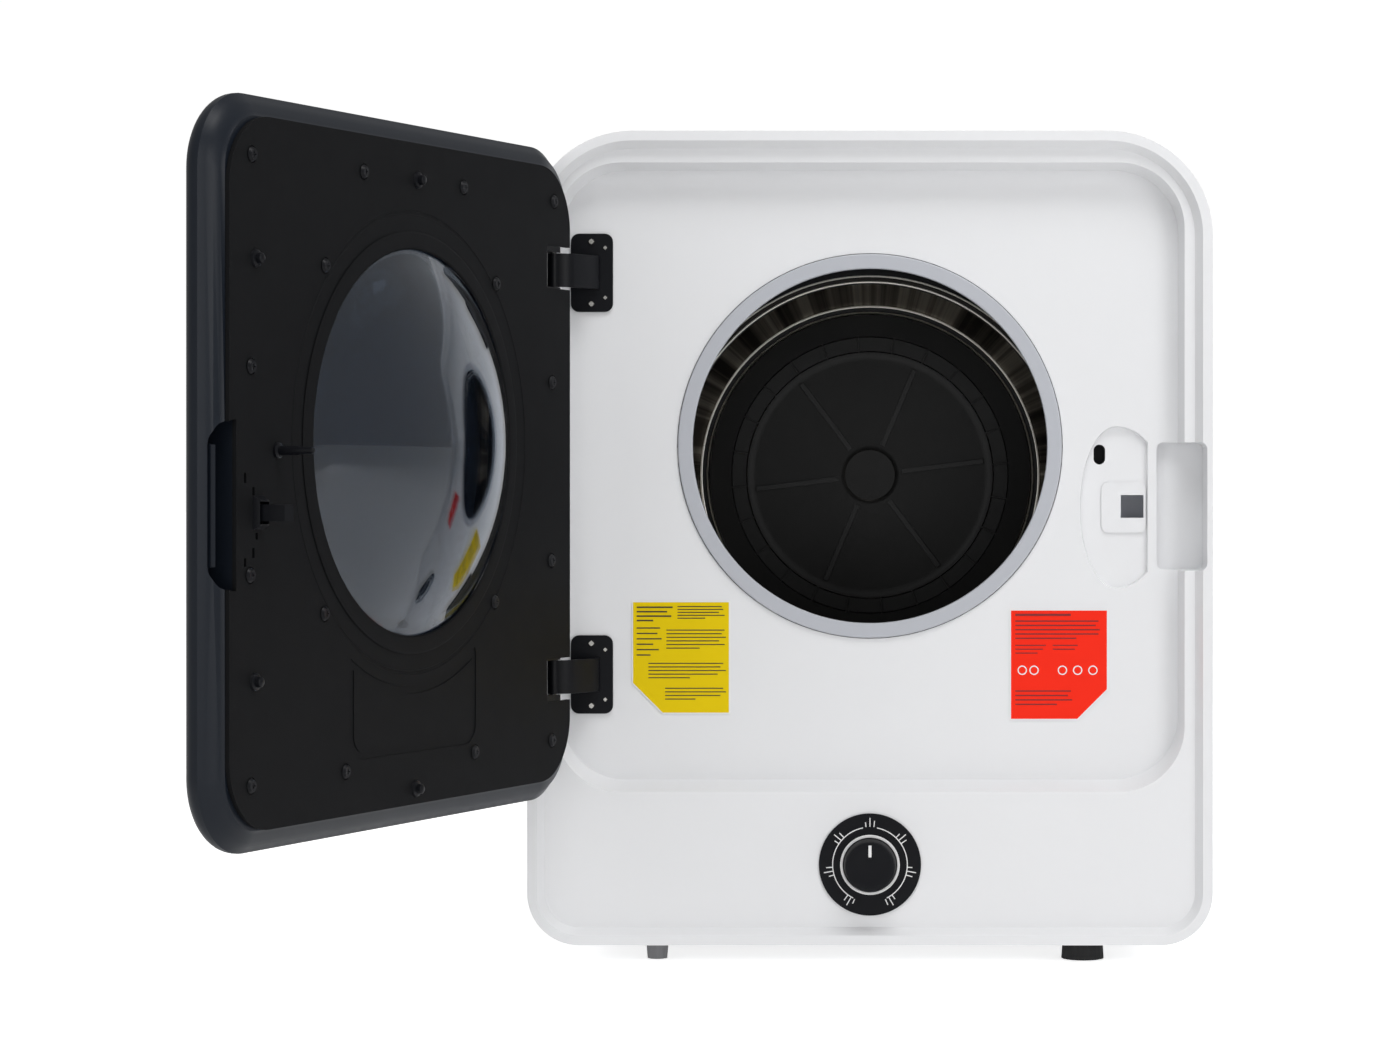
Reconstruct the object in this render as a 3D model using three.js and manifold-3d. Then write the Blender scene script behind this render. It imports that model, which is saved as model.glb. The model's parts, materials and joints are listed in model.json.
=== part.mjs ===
// A compact front-loading clothes dryer with its door standing open.
// Millimetres, +Z up, front facing -Y. The origin is on the floor under the middle of the cabinet.
import * as THREE from "three";
import { mergeVertices } from "three/addons/utils/BufferGeometryUtils.js";
import Module from "manifold-3d";

const wasm = await Module();
wasm.setup();

// ---------------------------------------------------------------- driving dimensions
const GAP = 0.3; // assembly gap between touching pieces
const CABINET = { width: 490, bottom: 16, top: 598, front: -200, back: 190, topRadius: 75, bottomRadius: 37 };
const SEAM_Y = -155; // where the front moulding meets the sheet wrap
const REAR_Y = 190; // inner face of the rear panel
const WRAP_SKIN = 1;
const FRONT_SKIN = 3;

const LIP = { flat: 7, slope: 5, depth: 8 }; // raised border round the whole front
const RECESS = { halfWidth: 225.5, bottom: 125, top: 576, radius: 47, floor: -172 };
const RECESS_TAPER = { side: 3, bottom: 7, top: 4 }; // how far each wall leans in at the floor
const STEP_Y = CABINET.front + LIP.depth;

const MOUTH = { x: 0, z: 373, hole: 139.2, ringOuter: 138.7, ringInner: 128 }; // loading opening
const DRUM = { z: 352, radius: 208, skin: 1.2, front: -142, back: 96, neck: 141, rearFace: 125 };
const KNOB = { x: 0, z: 73, dialRadius: 36.6, radius: 19 };
const NOTCH = { left: 207, right: 241, bottom: 283.5, top: 375.5, floor: -163 }; // finger notch at the right edge

const DOOR = {
  halfWidth: 231.5, height: 458, middle: 353, radius: 48, rimInset: 14,
  edgeY: -199, faceY: -213, panelFaceY: -186, panelRadius: 44, openAngle: 112.5,
};
const HINGE = { x: -226, y: -204, zs: [208, 498], pinRadius: 1.8, knuckleRadius: 4, armHeight: 24, pocketHeight: 30 };
const WINDOW = { radius: 124, rise: 40, skin: 3, ringOuter: 137.5, outerRadius: 150 };
const SWITCH = { x: 166, z: 366.8, pinRadius: 2.2 };
const LATCH = { x: 189.6, z: 329.3, hole: 16.5 };

const MOTOR = { x: 130, z: 81, radius: 42, front: -62, back: 48, pulley: 16, pulleyY: -80, shaft: 5 };
const BLOWER = { radius: 44, front: 84, back: 118 };
const BELT = { width: 8, thickness: 2, y: -80 };
const EXHAUST = { x: 10, z: 85, radius: 46, length: 24 };
const FOOT = { x: 155, y: 148 };

// ---------------------------------------------------------------- finishes
const finish = (color, roughness, metalness = 0, extra = {}) =>
  new THREE.MeshStandardMaterial({ color, roughness, metalness, ...extra });
const WHITE_PLASTIC = finish(0xe9eaec, 0.35);
const WHITE_METAL = finish(0xe4e5e8, 0.4, 0.1);
const LIGHT_GREY = finish(0xa9adb4, 0.4);
const BLACK_PLASTIC = finish(0x17181b, 0.55);
const DOOR_BLUE = finish(0x252a36, 0.25);
const STEEL = finish(0x8d8d8a, 0.3, 0.9);
const ZINC = finish(0xb4b7ba, 0.45, 0.8);
const DARK_METAL = finish(0x2a2b2e, 0.5, 0.6);
const RUBBER = finish(0x141416, 0.85);
const GREY_PLASTIC = finish(0x85868a, 0.5);
const FELT = finish(0xb9b2a2, 0.95);
const CLEAR = finish(0xb9c4d2, 0.05, 0, { transparent: true, opacity: 0.35 });
const TINTED = finish(0x1b1f27, 0.08, 0, { transparent: true, opacity: 0.7 });
const YELLOW = finish(0xf2cf0a, 0.5);
const RED = finish(0xe8331c, 0.5);

// ---------------------------------------------------------------- shape helpers
const toSolid = (geometry) => {
  const bare = (geometry.index ? geometry.toNonIndexed() : geometry.clone());
  bare.deleteAttribute("normal");
  bare.deleteAttribute("uv");
  const merged = mergeVertices(bare, 1e-4);
  return new wasm.Manifold(new wasm.Mesh({
    numProp: 3,
    vertProperties: merged.attributes.position.array,
    triVerts: new Uint32Array(merged.index.array),
  }));
};

const toGeometry = (solid) => {
  const mesh = solid.getMesh();
  return new THREE.BufferGeometry()
    .setAttribute("position", new THREE.BufferAttribute(new Float32Array(mesh.vertProperties), 3))
    .setIndex(new THREE.BufferAttribute(mesh.triVerts, 1));
};

const join = (...geometries) => toGeometry(geometries.map(toSolid).reduce((a, b) => a.add(b)));
const cut = (body, ...tools) => toGeometry(tools.map(toSolid).reduce((a, b) => a.subtract(b), toSolid(body)));

const box = (x0, x1, y0, y1, z0, z1) =>
  new THREE.BoxGeometry(x1 - x0, y1 - y0, z1 - z0).translate((x0 + x1) / 2, (y0 + y1) / 2, (z0 + z1) / 2);

// A cylinder along Y.
const rod = (x, z, radius, y0, y1, sides = 24, frontRadius = radius) =>
  new THREE.CylinderGeometry(radius, frontRadius, y1 - y0, sides).translate(x, (y0 + y1) / 2, z);

// A cylinder along Z.
const post = (x, y, radius, z0, z1, sides = 16, bottomRadius = radius) =>
  new THREE.CylinderGeometry(radius, bottomRadius, z1 - z0, sides)
    .rotateX(Math.PI / 2).translate(x, y, (z0 + z1) / 2);

// A closed profile of [radius, y] pairs turned about an axis along Y.
const turned = (x, z, profile, sides = 48) => {
  const points = profile.map(([r, y]) => new THREE.Vector2(r, y));
  if (THREE.ShapeUtils.area(points) < 0) points.reverse();
  if (points.every((p) => p.x > 0)) points.push(points[0].clone());
  return new THREE.LatheGeometry(points, sides).translate(x, 0, z);
};

// Outline points of a rectangle in the XZ plane with round corners, anticlockwise seen from the front.
const roundedRect = (left, right, bottom, top, topRadius, bottomRadius = topRadius, steps = 8) => {
  const corners = [
    [right - bottomRadius, bottom + bottomRadius, bottomRadius, -90],
    [right - topRadius, top - topRadius, topRadius, 0],
    [left + topRadius, top - topRadius, topRadius, 90],
    [left + bottomRadius, bottom + bottomRadius, bottomRadius, 180],
  ];
  return corners.flatMap(([x, z, radius, from]) =>
    Array.from({ length: steps + 1 }, (_, i) => {
      const angle = THREE.MathUtils.degToRad(from + (90 * i) / steps);
      return [x + radius * Math.cos(angle), z + radius * Math.sin(angle)];
    }));
};

// A closed solid through outlines of equal length, listed from front to back.
const loft = (levels) => {
  const count = levels[0].outline.length;
  const position = levels.flatMap(({ y, outline }) => outline.flatMap(([x, z]) => [x, y, z]));
  const flat = (outline) => outline.map(([x, z]) => new THREE.Vector2(x, z));
  const last = (levels.length - 1) * count;
  const index = [];
  for (const [a, b, c] of THREE.ShapeUtils.triangulateShape(flat(levels[0].outline), [])) index.push(a, b, c);
  for (const [a, b, c] of THREE.ShapeUtils.triangulateShape(flat(levels.at(-1).outline), []))
    index.push(last + a, last + c, last + b);
  for (let level = 0; level < levels.length - 1; level++)
    for (let i = 0; i < count; i++) {
      const j = (i + 1) % count;
      const [a, b, c, d] = [level * count + i, level * count + j, (level + 1) * count + j, (level + 1) * count + i];
      index.push(a, d, c, a, c, b);
    }
  return new THREE.BufferGeometry()
    .setAttribute("position", new THREE.Float32BufferAttribute(position, 3))
    .setIndex(index);
};

const prism = (outline, y0, y1) => loft([{ y: y0, outline }, { y: y1, outline }]);

// A flat profile of [x, y] pairs extruded upwards from z0 to z1.
const upright = (profile, z0, z1) => {
  const shape = new THREE.Shape(profile.map(([x, y]) => new THREE.Vector2(x, y)));
  return new THREE.ExtrudeGeometry(shape, { depth: z1 - z0, bevelEnabled: false }).translate(0, 0, z0);
};

// ---------------------------------------------------------------- assembly
const dryer = new THREE.Group();
const doorGroup = new THREE.Group(); // holds the door's pieces, drawn shut and then swung open
doorGroup.position.set(HINGE.x, HINGE.y, 0);
doorGroup.rotation.z = THREE.MathUtils.degToRad(-DOOR.openAngle);
dryer.add(doorGroup);

const add = (name, geometry, material) => {
  const mesh = new THREE.Mesh(geometry, material);
  mesh.name = name;
  dryer.add(mesh);
};

const addToDoor = (name, geometry, material) => {
  const mesh = new THREE.Mesh(geometry, material);
  mesh.name = name;
  mesh.position.set(-HINGE.x, -HINGE.y, 0);
  doorGroup.add(mesh);
};

// ---------------------------------------------------------------- cabinet
const HALF = CABINET.width / 2;
const cabinetOutline = (inset) => roundedRect(-HALF + inset, HALF - inset, CABINET.bottom + inset,
  CABINET.top - inset, CABINET.topRadius - inset, CABINET.bottomRadius - inset);
// The well's outline: 0 at its rim to 1 at its floor, grown by a skin when asked.
const recessOutline = (share, grow = 0) => {
  const side = RECESS.halfWidth - RECESS_TAPER.side * share + grow;
  return roundedRect(-side, side, RECESS.bottom + RECESS_TAPER.bottom * share - grow,
    RECESS.top - RECESS_TAPER.top * share + grow, RECESS.radius - 3 * share + grow);
};

// The shallow ear-shaped recess round the latch and the door switch.
const latchPad = (inset) => {
  const bow = Array.from({ length: 11 }, (_, i) => {
    const angle = THREE.MathUtils.degToRad(100 + 16 * i);
    return [178 + 28 * Math.cos(angle), 328.7 + 60.5 * Math.sin(angle)];
  });
  const outline = [[191, 268.2], [201, 300], [203, 328], [202, 362], [193, 389.2], ...bow];
  return outline.map(([x, z]) => [178 + (x - 178) * (1 - inset / 26), 328.7 + (z - 328.7) * (1 - inset / 60)]);
};
const PAD_DEPTH = 4;

const switchSlot = (inset) => roundedRect(SWITCH.x - 4.2 + inset, SWITCH.x + 4.2 - inset,
  SWITCH.z - 7.2 + inset, SWITCH.z + 7.2 - inset, 4.1 - inset, 4.1 - inset, 4);

function frontPanel() {
  const lipTop = CABINET.front;
  const outer = loft([
    { y: lipTop, outline: cabinetOutline(2) },
    { y: lipTop + 2, outline: cabinetOutline(0) },
    { y: SEAM_Y, outline: cabinetOutline(0) },
  ]);
  const borderPocket = loft([
    { y: lipTop - 1, outline: cabinetOutline(LIP.flat) },
    { y: lipTop, outline: cabinetOutline(LIP.flat) },
    { y: STEP_Y, outline: cabinetOutline(LIP.flat + LIP.slope) },
  ]);
  const recessPocket = loft([
    { y: STEP_Y - 1, outline: recessOutline(0, 1) },
    { y: STEP_Y + 1, outline: recessOutline(0) },
    { y: RECESS.floor, outline: recessOutline(1) },
  ]);
  const padPocket = loft([
    { y: RECESS.floor - 1, outline: latchPad(0) },
    { y: RECESS.floor, outline: latchPad(0) },
    { y: RECESS.floor + PAD_DEPTH, outline: latchPad(2.5) },
  ]);
  const notchPocket = box(NOTCH.left, NOTCH.right, lipTop - 1, NOTCH.floor, NOTCH.bottom, NOTCH.top);
  const tubOuter = loft([
    { y: STEP_Y, outline: recessOutline(0, FRONT_SKIN) },
    { y: RECESS.floor + FRONT_SKIN, outline: recessOutline(1, FRONT_SKIN) },
  ]);
  const padBacking = prism(latchPad(-FRONT_SKIN), STEP_Y, RECESS.floor + PAD_DEPTH + FRONT_SKIN);
  const notchBacking = box(NOTCH.left - FRONT_SKIN, HALF, STEP_Y, NOTCH.floor + FRONT_SKIN,
    NOTCH.bottom - FRONT_SKIN, NOTCH.top + FRONT_SKIN);
  const hollow = cut(prism(cabinetOutline(FRONT_SKIN), STEP_Y + FRONT_SKIN, SEAM_Y + 1),
    tubOuter, padBacking, notchBacking);
  return cut(outer, borderPocket, recessPocket, padPocket, notchPocket, hollow,
    rod(MOUTH.x, MOUTH.z, MOUTH.hole, -190, -160, 64),
    prism(switchSlot(0), -180, -150),
    box(LATCH.x - 9.5, LATCH.x + 9.5, -180, -150, LATCH.z - 9.5, LATCH.z + 9.5),
    rod(KNOB.x, KNOB.z, 7, -196, -180, 20));
}

function cabinetWrap() {
  const tube = cut(prism(cabinetOutline(0), SEAM_Y + GAP, CABINET.back),
    prism(cabinetOutline(WRAP_SKIN), SEAM_Y - 1, CABINET.back + 1));
  return cut(tube, box(-200, 200, SEAM_Y - 2, CABINET.back + 2, 0, CABINET.bottom + 3));
}

function basePan() {
  const sheet = 1.6;
  const dishBottom = 9;
  const rect = (x0, x1, y0, y1, z) => [[x0, y0], [x1, y0], [x1, y1], [x0, y1]].map(([x, y]) => [x, y, z]);
  const frustum = (low, high) => {
    const geometry = new THREE.BufferGeometry();
    geometry.setAttribute("position", new THREE.Float32BufferAttribute([...low, ...high].flat(), 3));
    geometry.setIndex([0, 2, 1, 0, 3, 2, 4, 5, 6, 4, 6, 7, 0, 1, 5, 0, 5, 4, 1, 2, 6, 1, 6, 5,
      2, 3, 7, 2, 7, 6, 3, 0, 4, 3, 4, 7]);
    return geometry;
  };
  const top = CABINET.bottom + sheet;
  const plate = box(-200 + GAP, 200 - GAP, SEAM_Y + GAP, CABINET.back, CABINET.bottom, top);
  const dish = frustum(rect(-90, 60, -70, 60, dishBottom), rect(-102, 72, -82, 72, top));
  const hollow = frustum(rect(-89, 59, -69, 59, dishBottom + sheet), rect(-103, 73, -83, 73, top + 3));
  return cut(join(plate, dish), hollow);
}

function rearPanel() {
  const y0 = CABINET.back + GAP;
  const skirt = prism(cabinetOutline(4), y0, y0 + 1.2);
  const raised = loft([
    { y: y0 + 0.6, outline: roundedRect(-175, 175, 150, 545, 22, 22, 3) },
    { y: y0 + 7, outline: roundedRect(-169, 169, 156, 539, 18, 18, 3) },
  ]);
  const raisedHollow = loft([
    { y: y0 - 1, outline: roundedRect(-172, 172, 153, 542, 20, 20, 3) },
    { y: y0 + 5.8, outline: roundedRect(-167.8, 167.8, 157.2, 537.8, 17, 17, 3) },
  ]);
  const louvres = [-75, 75].flatMap((x) => Array.from({ length: 7 }, (_, i) =>
    box(x - 45, x + 45, y0 + 3, y0 + 9, 392 + i * 16, 397 + i * 16)));
  return cut(join(skirt, raised), raisedHollow, ...louvres,
    rod(EXHAUST.x, EXHAUST.z, EXHAUST.radius + GAP, y0 - 2, y0 + 4, 40),
    rod(-175, 62, 8, y0 - 2, y0 + 4, 20));
}

const foot = (x, y, topRadius, soleRadius) => post(x, y, topRadius, 0, CABINET.bottom - GAP, 20, soleRadius);

add("front_panel", frontPanel(), WHITE_PLASTIC);
add("cabinet_wrap", cabinetWrap(), WHITE_METAL);
add("base_pan", basePan(), ZINC);
add("rear_panel", rearPanel(), WHITE_METAL);
add("levelling_foot_front_left", foot(-FOOT.x, -FOOT.y, 8.5, 7.2), GREY_PLASTIC);
add("foot_front_right", foot(FOOT.x, -FOOT.y, 14.5, 15.5), RUBBER);
add("foot_rear_left", foot(-FOOT.x, FOOT.y, 14.5, 15.5), RUBBER);
add("foot_rear_right", foot(FOOT.x, FOOT.y, 14.5, 15.5), RUBBER);

// ---------------------------------------------------------------- loading opening and bulkheads
add("opening_ring", turned(MOUTH.x, MOUTH.z, [
  [MOUTH.ringInner, RECESS.floor - 1.4], [MOUTH.ringInner + 1.5, RECESS.floor - 2.2],
  [MOUTH.ringOuter - 1.5, RECESS.floor - 2.2], [MOUTH.ringOuter, RECESS.floor - 1.2],
  [MOUTH.ringOuter, RECESS.floor + 3.4], [MOUTH.ringInner, RECESS.floor + 3.4],
], 64), LIGHT_GREY);

const BULKHEAD_Y = -164.7;
function frontBulkhead() {
  const plate = prism(roundedRect(-205, 205, 155, 565, 60, 60, 5), BULKHEAD_Y, BULKHEAD_Y + 1.5);
  const collar = rod(0, DRUM.z, DRUM.neck + 6, BULKHEAD_Y, -147, 48);
  return cut(join(plate, collar),
    rod(0, DRUM.z, DRUM.neck + 4.4, BULKHEAD_Y + 1.5, -140, 48),
    rod(0, DRUM.z, DRUM.neck + 2.5, -180, -140, 48),
    box(148, 206, -180, -140, 255, 400));
}
add("front_bulkhead", frontBulkhead(), BLACK_PLASTIC);
add("drum_seal", turned(0, DRUM.z, [
  [DRUM.neck + 0.5, -161], [DRUM.neck + 4, -161], [DRUM.neck + 4, -149], [DRUM.neck + 0.5, -149],
], 48), FELT);

const REAR_BULKHEAD_Y = 141;
function rearBulkhead() {
  const plate = prism(cabinetOutline(WRAP_SKIN + 0.4), REAR_BULKHEAD_Y, REAR_BULKHEAD_Y + 1);
  const boss = rod(0, DRUM.z, 22, REAR_BULKHEAD_Y, REAR_BULKHEAD_Y + 18, 24);
  const airSlots = [45, 90, 135, 225, 270, 315].map((degrees) => {
    const angle = THREE.MathUtils.degToRad(degrees);
    return rod(75 * Math.cos(angle), DRUM.z + 75 * Math.sin(angle), 16, 135, 150, 16);
  });
  return cut(join(plate, boss), rod(0, DRUM.z, 16 + GAP, 135, 170, 24), ...airSlots,
    box(-60, 192, 135, 150, 10, 145),
    box(-201, 201, 135, 150, 10, CABINET.bottom + 1.6 + GAP));
}
add("rear_bulkhead", rearBulkhead(), ZINC);
add("shaft_bearing", turned(0, DRUM.z, [[8.4, 142], [16, 142], [16, 158], [8.4, 158]], 24), STEEL);

// ---------------------------------------------------------------- drum
add("drum_shell", turned(0, DRUM.z, [
  [DRUM.radius - DRUM.skin, DRUM.front], [DRUM.radius, DRUM.front],
  [DRUM.radius, DRUM.back + 20], [DRUM.radius - DRUM.skin, DRUM.back + 20],
], 48), STEEL);
add("drum_front_ring", turned(0, DRUM.z, [
  [DRUM.neck - 1.2, -160], [DRUM.neck, -160], [DRUM.neck, DRUM.front - 1.5], [DRUM.radius - 2, DRUM.front - 1.5],
  [DRUM.radius - 2, DRUM.front - GAP], [DRUM.neck - 1.2, DRUM.front - GAP],
], 48), STEEL);

const rearSkin = 1.2;
add("drum_rear_wall", turned(0, DRUM.z, [
  [8.6, DRUM.rearFace], [137, DRUM.rearFace], [164, DRUM.back], [DRUM.radius - 2, DRUM.back],
  [DRUM.radius - 2, DRUM.back + rearSkin], [164.6, DRUM.back + rearSkin], [137.6, DRUM.rearFace + rearSkin],
  [8.6, DRUM.rearFace + rearSkin],
], 48), STEEL);

const LIFTERS = 3;
function lifter(degrees) {
  const base = DRUM.radius - DRUM.skin - 4.5;
  const bar = loft([
    { y: -138, outline: [[base, -26], [base, 26], [base - 34, 9], [base - 34, -9]] },
    { y: 88, outline: [[base, -26], [base, 26], [base - 44, 9], [base - 44, -9]] },
  ]);
  return bar.rotateY(THREE.MathUtils.degToRad(-degrees)).translate(0, 0, DRUM.z);
}
for (let i = 0; i < LIFTERS; i++) add(`lifter_${i + 1}`, lifter(90 + (360 / LIFTERS) * i), STEEL);

function filterCover() {
  const body = turned(0, DRUM.z, [
    [0, 112], [60, 113], [96, 117], [112, 119], [130, 120.5], [130, DRUM.rearFace - GAP], [0, DRUM.rearFace - GAP],
  ], 48);
  const slots = Array.from({ length: 16 }, (_, i) => {
    const angle = (2 * Math.PI * (i + 0.5)) / 16;
    return box(100, 111, 105, 130, -12, 12).rotateY(angle).translate(0, 0, DRUM.z);
  });
  return cut(body, ...slots);
}
add("filter_cover", filterCover(), BLACK_PLASTIC);
add("drum_shaft", join(rod(0, DRUM.z, 8, DRUM.rearFace + 2 * GAP, 166, 20), rod(0, DRUM.z, 26,
  DRUM.rearFace + rearSkin + GAP, DRUM.rearFace + rearSkin + 5, 24)), ZINC);

// ---------------------------------------------------------------- drive: motor, pulley, belt, idler, blower
add("motor_housing", cut(join(
  rod(MOTOR.x, MOTOR.z, MOTOR.radius, MOTOR.front + 8, MOTOR.back - 8, 28),
  rod(MOTOR.x, MOTOR.z, 30, MOTOR.front, MOTOR.back, 24),
), rod(MOTOR.x, MOTOR.z, MOTOR.shaft + 0.6, MOTOR.front - 2, MOTOR.back + 2, 16)), DARK_METAL);

const motorBracket = () => cut(
  box(MOTOR.x - 48, MOTOR.x + 48, MOTOR.front + 12, MOTOR.back - 12, CABINET.bottom + 1.6 + GAP, MOTOR.z - 12),
  rod(MOTOR.x, MOTOR.z, MOTOR.radius + GAP, -90, 90, 28),
  box(MOTOR.x - 44, MOTOR.x + 44, MOTOR.front + 20, MOTOR.back - 20, 10, MOTOR.z),
);
add("motor_bracket", motorBracket(), ZINC);

add("motor_shaft", join(
  rod(MOTOR.x, MOTOR.z, MOTOR.shaft, MOTOR.pulleyY - 8, BLOWER.back - 4, 16),
  rod(MOTOR.x, MOTOR.z, MOTOR.pulley, MOTOR.pulleyY - 6, MOTOR.pulleyY + 6, 24),
), STEEL);

function blowerWheel() {
  const hub = rod(MOTOR.x, MOTOR.z, 12, BLOWER.front + 6, BLOWER.back - 6, 20);
  const disc = rod(MOTOR.x, MOTOR.z, BLOWER.radius, BLOWER.back - 8, BLOWER.back - 6, 32);
  const blades = Array.from({ length: 12 }, (_, i) =>
    box(9, BLOWER.radius - 1, BLOWER.front + 6, BLOWER.back - 7, -1, 1)
      .rotateY((2 * Math.PI * i) / 12).translate(MOTOR.x, 0, MOTOR.z));
  return cut(join(hub, disc, ...blades), rod(MOTOR.x, MOTOR.z, MOTOR.shaft + 0.35, 60, BLOWER.back, 16));
}
add("blower_wheel", blowerWheel(), BLACK_PLASTIC);

function blowerHousing() {
  const skin = 2;
  const volute = rod(MOTOR.x, MOTOR.z, 54, BLOWER.front, BLOWER.back, 36);
  const duct = box(EXHAUST.x - 52, MOTOR.x - 10, BLOWER.front, 180, 29, 137);
  const voluteHollow = rod(MOTOR.x, MOTOR.z, 54 - skin, BLOWER.front + skin, BLOWER.back - skin, 36);
  const ductHollow = box(EXHAUST.x - 50, MOTOR.x - 12, BLOWER.front + skin, 180 - skin, 31, 135);
  return cut(join(volute, duct), join(voluteHollow, ductHollow),
    rod(MOTOR.x, MOTOR.z, 26, BLOWER.front - 2, BLOWER.front + 4, 24),
    rod(EXHAUST.x, EXHAUST.z, EXHAUST.radius + GAP, 170, 190, 40));
}
add("blower_housing", blowerHousing(), BLACK_PLASTIC);
add("exhaust_collar", turned(EXHAUST.x, EXHAUST.z, [
  [EXHAUST.radius - 2.5, 176], [EXHAUST.radius, 176], [EXHAUST.radius, REAR_Y + 2.6], [EXHAUST.radius + 8, REAR_Y + 2.6],
  [EXHAUST.radius + 8, REAR_Y + 5], [EXHAUST.radius, REAR_Y + 5], [EXHAUST.radius, REAR_Y + EXHAUST.length],
  [EXHAUST.radius - 2.5, REAR_Y + EXHAUST.length],
], 40), WHITE_PLASTIC);

// Circle points about a centre, on the outside of the named radius.
const circle = (x, z, radius, sides) => Array.from({ length: sides }, (_, i) => {
  const angle = (2 * Math.PI * i) / sides;
  const reach = radius / Math.cos(Math.PI / sides);
  return [x + reach * Math.cos(angle), z + reach * Math.sin(angle)];
});

// Convex outline round two circles: the path of a belt, anticlockwise.
function beltOutline(clearance) {
  const points = [...circle(0, DRUM.z, DRUM.radius + clearance, 48),
    ...circle(MOTOR.x, MOTOR.z, MOTOR.pulley + clearance, 24)].sort((a, b) => a[0] - b[0] || a[1] - b[1]);
  const turn = (o, a, b) => (a[0] - o[0]) * (b[1] - o[1]) - (a[1] - o[1]) * (b[0] - o[0]);
  const half = (list) => list.reduce((hull, point) => {
    while (hull.length > 1 && turn(hull.at(-2), hull.at(-1), point) <= 0) hull.pop();
    hull.push(point);
    return hull;
  }, []);
  return [...half(points).slice(0, -1), ...half(points.reverse()).slice(0, -1)];
}
add("drive_belt", cut(
  prism(beltOutline(0.6 + BELT.thickness), BELT.y - BELT.width / 2, BELT.y + BELT.width / 2),
  prism(beltOutline(0.6), BELT.y - BELT.width, BELT.y + BELT.width),
), RUBBER);

// The idler presses on the outer side of the belt's left run, half way between drum and motor.
const IDLER_RADIUS = 13;
const idlerPlace = (() => {
  const along = new THREE.Vector2(MOTOR.x, MOTOR.z - DRUM.z);
  const distance = along.length();
  along.normalize();
  const lean = Math.asin((DRUM.radius - MOTOR.pulley) / distance);
  const outward = new THREE.Vector2(along.y, -along.x).rotateAround(new THREE.Vector2(), lean);
  const start = new THREE.Vector2(0, DRUM.z).addScaledVector(outward, DRUM.radius);
  const end = new THREE.Vector2(MOTOR.x, MOTOR.z).addScaledVector(outward, MOTOR.pulley);
  return start.lerp(end, 0.62).addScaledVector(outward, IDLER_RADIUS + BELT.thickness + 1.1);
})();
add("idler_pulley", turned(idlerPlace.x, idlerPlace.y, [
  [3.4, BELT.y - 6], [IDLER_RADIUS, BELT.y - 6], [IDLER_RADIUS, BELT.y + 6], [3.4, BELT.y + 6],
], 24), GREY_PLASTIC);

const ARM = { x: idlerPlace.x + 47.3, z: idlerPlace.y - 21.7 }; // the arm lies along the belt
function idlerArm() {
  const dx = idlerPlace.x - ARM.x;
  const dz = idlerPlace.y - ARM.z;
  const length = Math.hypot(dx, dz);
  const bar = box(0, length, BELT.y + 7, BELT.y + 10, -6, 6)
    .rotateY(-Math.atan2(dz, dx)).translate(ARM.x, 0, ARM.z);
  return cut(join(bar, rod(ARM.x, ARM.z, 9, BELT.y + 7, BELT.y + 10, 20),
    rod(idlerPlace.x, idlerPlace.y, 3, BELT.y - 7, BELT.y + 8, 16)),
    rod(ARM.x, ARM.z, 3.4, BELT.y, BELT.y + 20, 16));
}
add("idler_arm", idlerArm(), ZINC);
add("idler_bracket", join(
  box(ARM.x - 14, ARM.x + 14, BELT.y + 11, BELT.y + 14, CABINET.bottom + 1.6 + GAP, ARM.z + 12),
  box(ARM.x - 14, ARM.x + 14, BELT.y + 11, BELT.y + 27, CABINET.bottom + 1.6 + GAP, CABINET.bottom + 4),
  rod(ARM.x, ARM.z, 3, BELT.y + 4, BELT.y + 12, 16),
), ZINC);

// ---------------------------------------------------------------- heater
const HEATER = { left: -150, right: -50, bottom: 435, top: 525, front: 143.4, back: 184 };
add("heater_box", cut(
  box(HEATER.left, HEATER.right, HEATER.front, HEATER.back, HEATER.bottom, HEATER.top),
  box(HEATER.left + 1.5, HEATER.right - 1.5, HEATER.front + 1.5, HEATER.back - 1.5, HEATER.bottom + 1.5, HEATER.top - 1.5),
  box(HEATER.left + 12, HEATER.right - 12, HEATER.front - 1, HEATER.back + 1, HEATER.bottom + 12, HEATER.top - 12),
), ZINC);
const heaterFins = Array.from({ length: 9 }, (_, i) =>
  box(HEATER.left + 6 + i * 10, HEATER.left + 9 + i * 10, HEATER.front + 6, HEATER.back - 6,
    HEATER.bottom + 6, HEATER.top - 6));
add("heater_element", join(
  box(HEATER.left + 4, HEATER.right - 4, HEATER.front + 12, HEATER.back - 12, HEATER.bottom + 36, HEATER.bottom + 42),
  box(HEATER.left + 4, HEATER.right - 4, HEATER.front + 12, HEATER.back - 12, HEATER.top - 26, HEATER.top - 20),
  ...heaterFins,
), DARK_METAL);
add("thermostat", join(
  rod(0, 0, 12, -6, 0, 20), rod(0, 0, 8, -12, -5, 16), box(-17, 17, -4.5, -3, -5, 5),
).rotateX(-Math.PI / 2).translate(-100, 163, HEATER.top + GAP), BLACK_PLASTIC);

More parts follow.
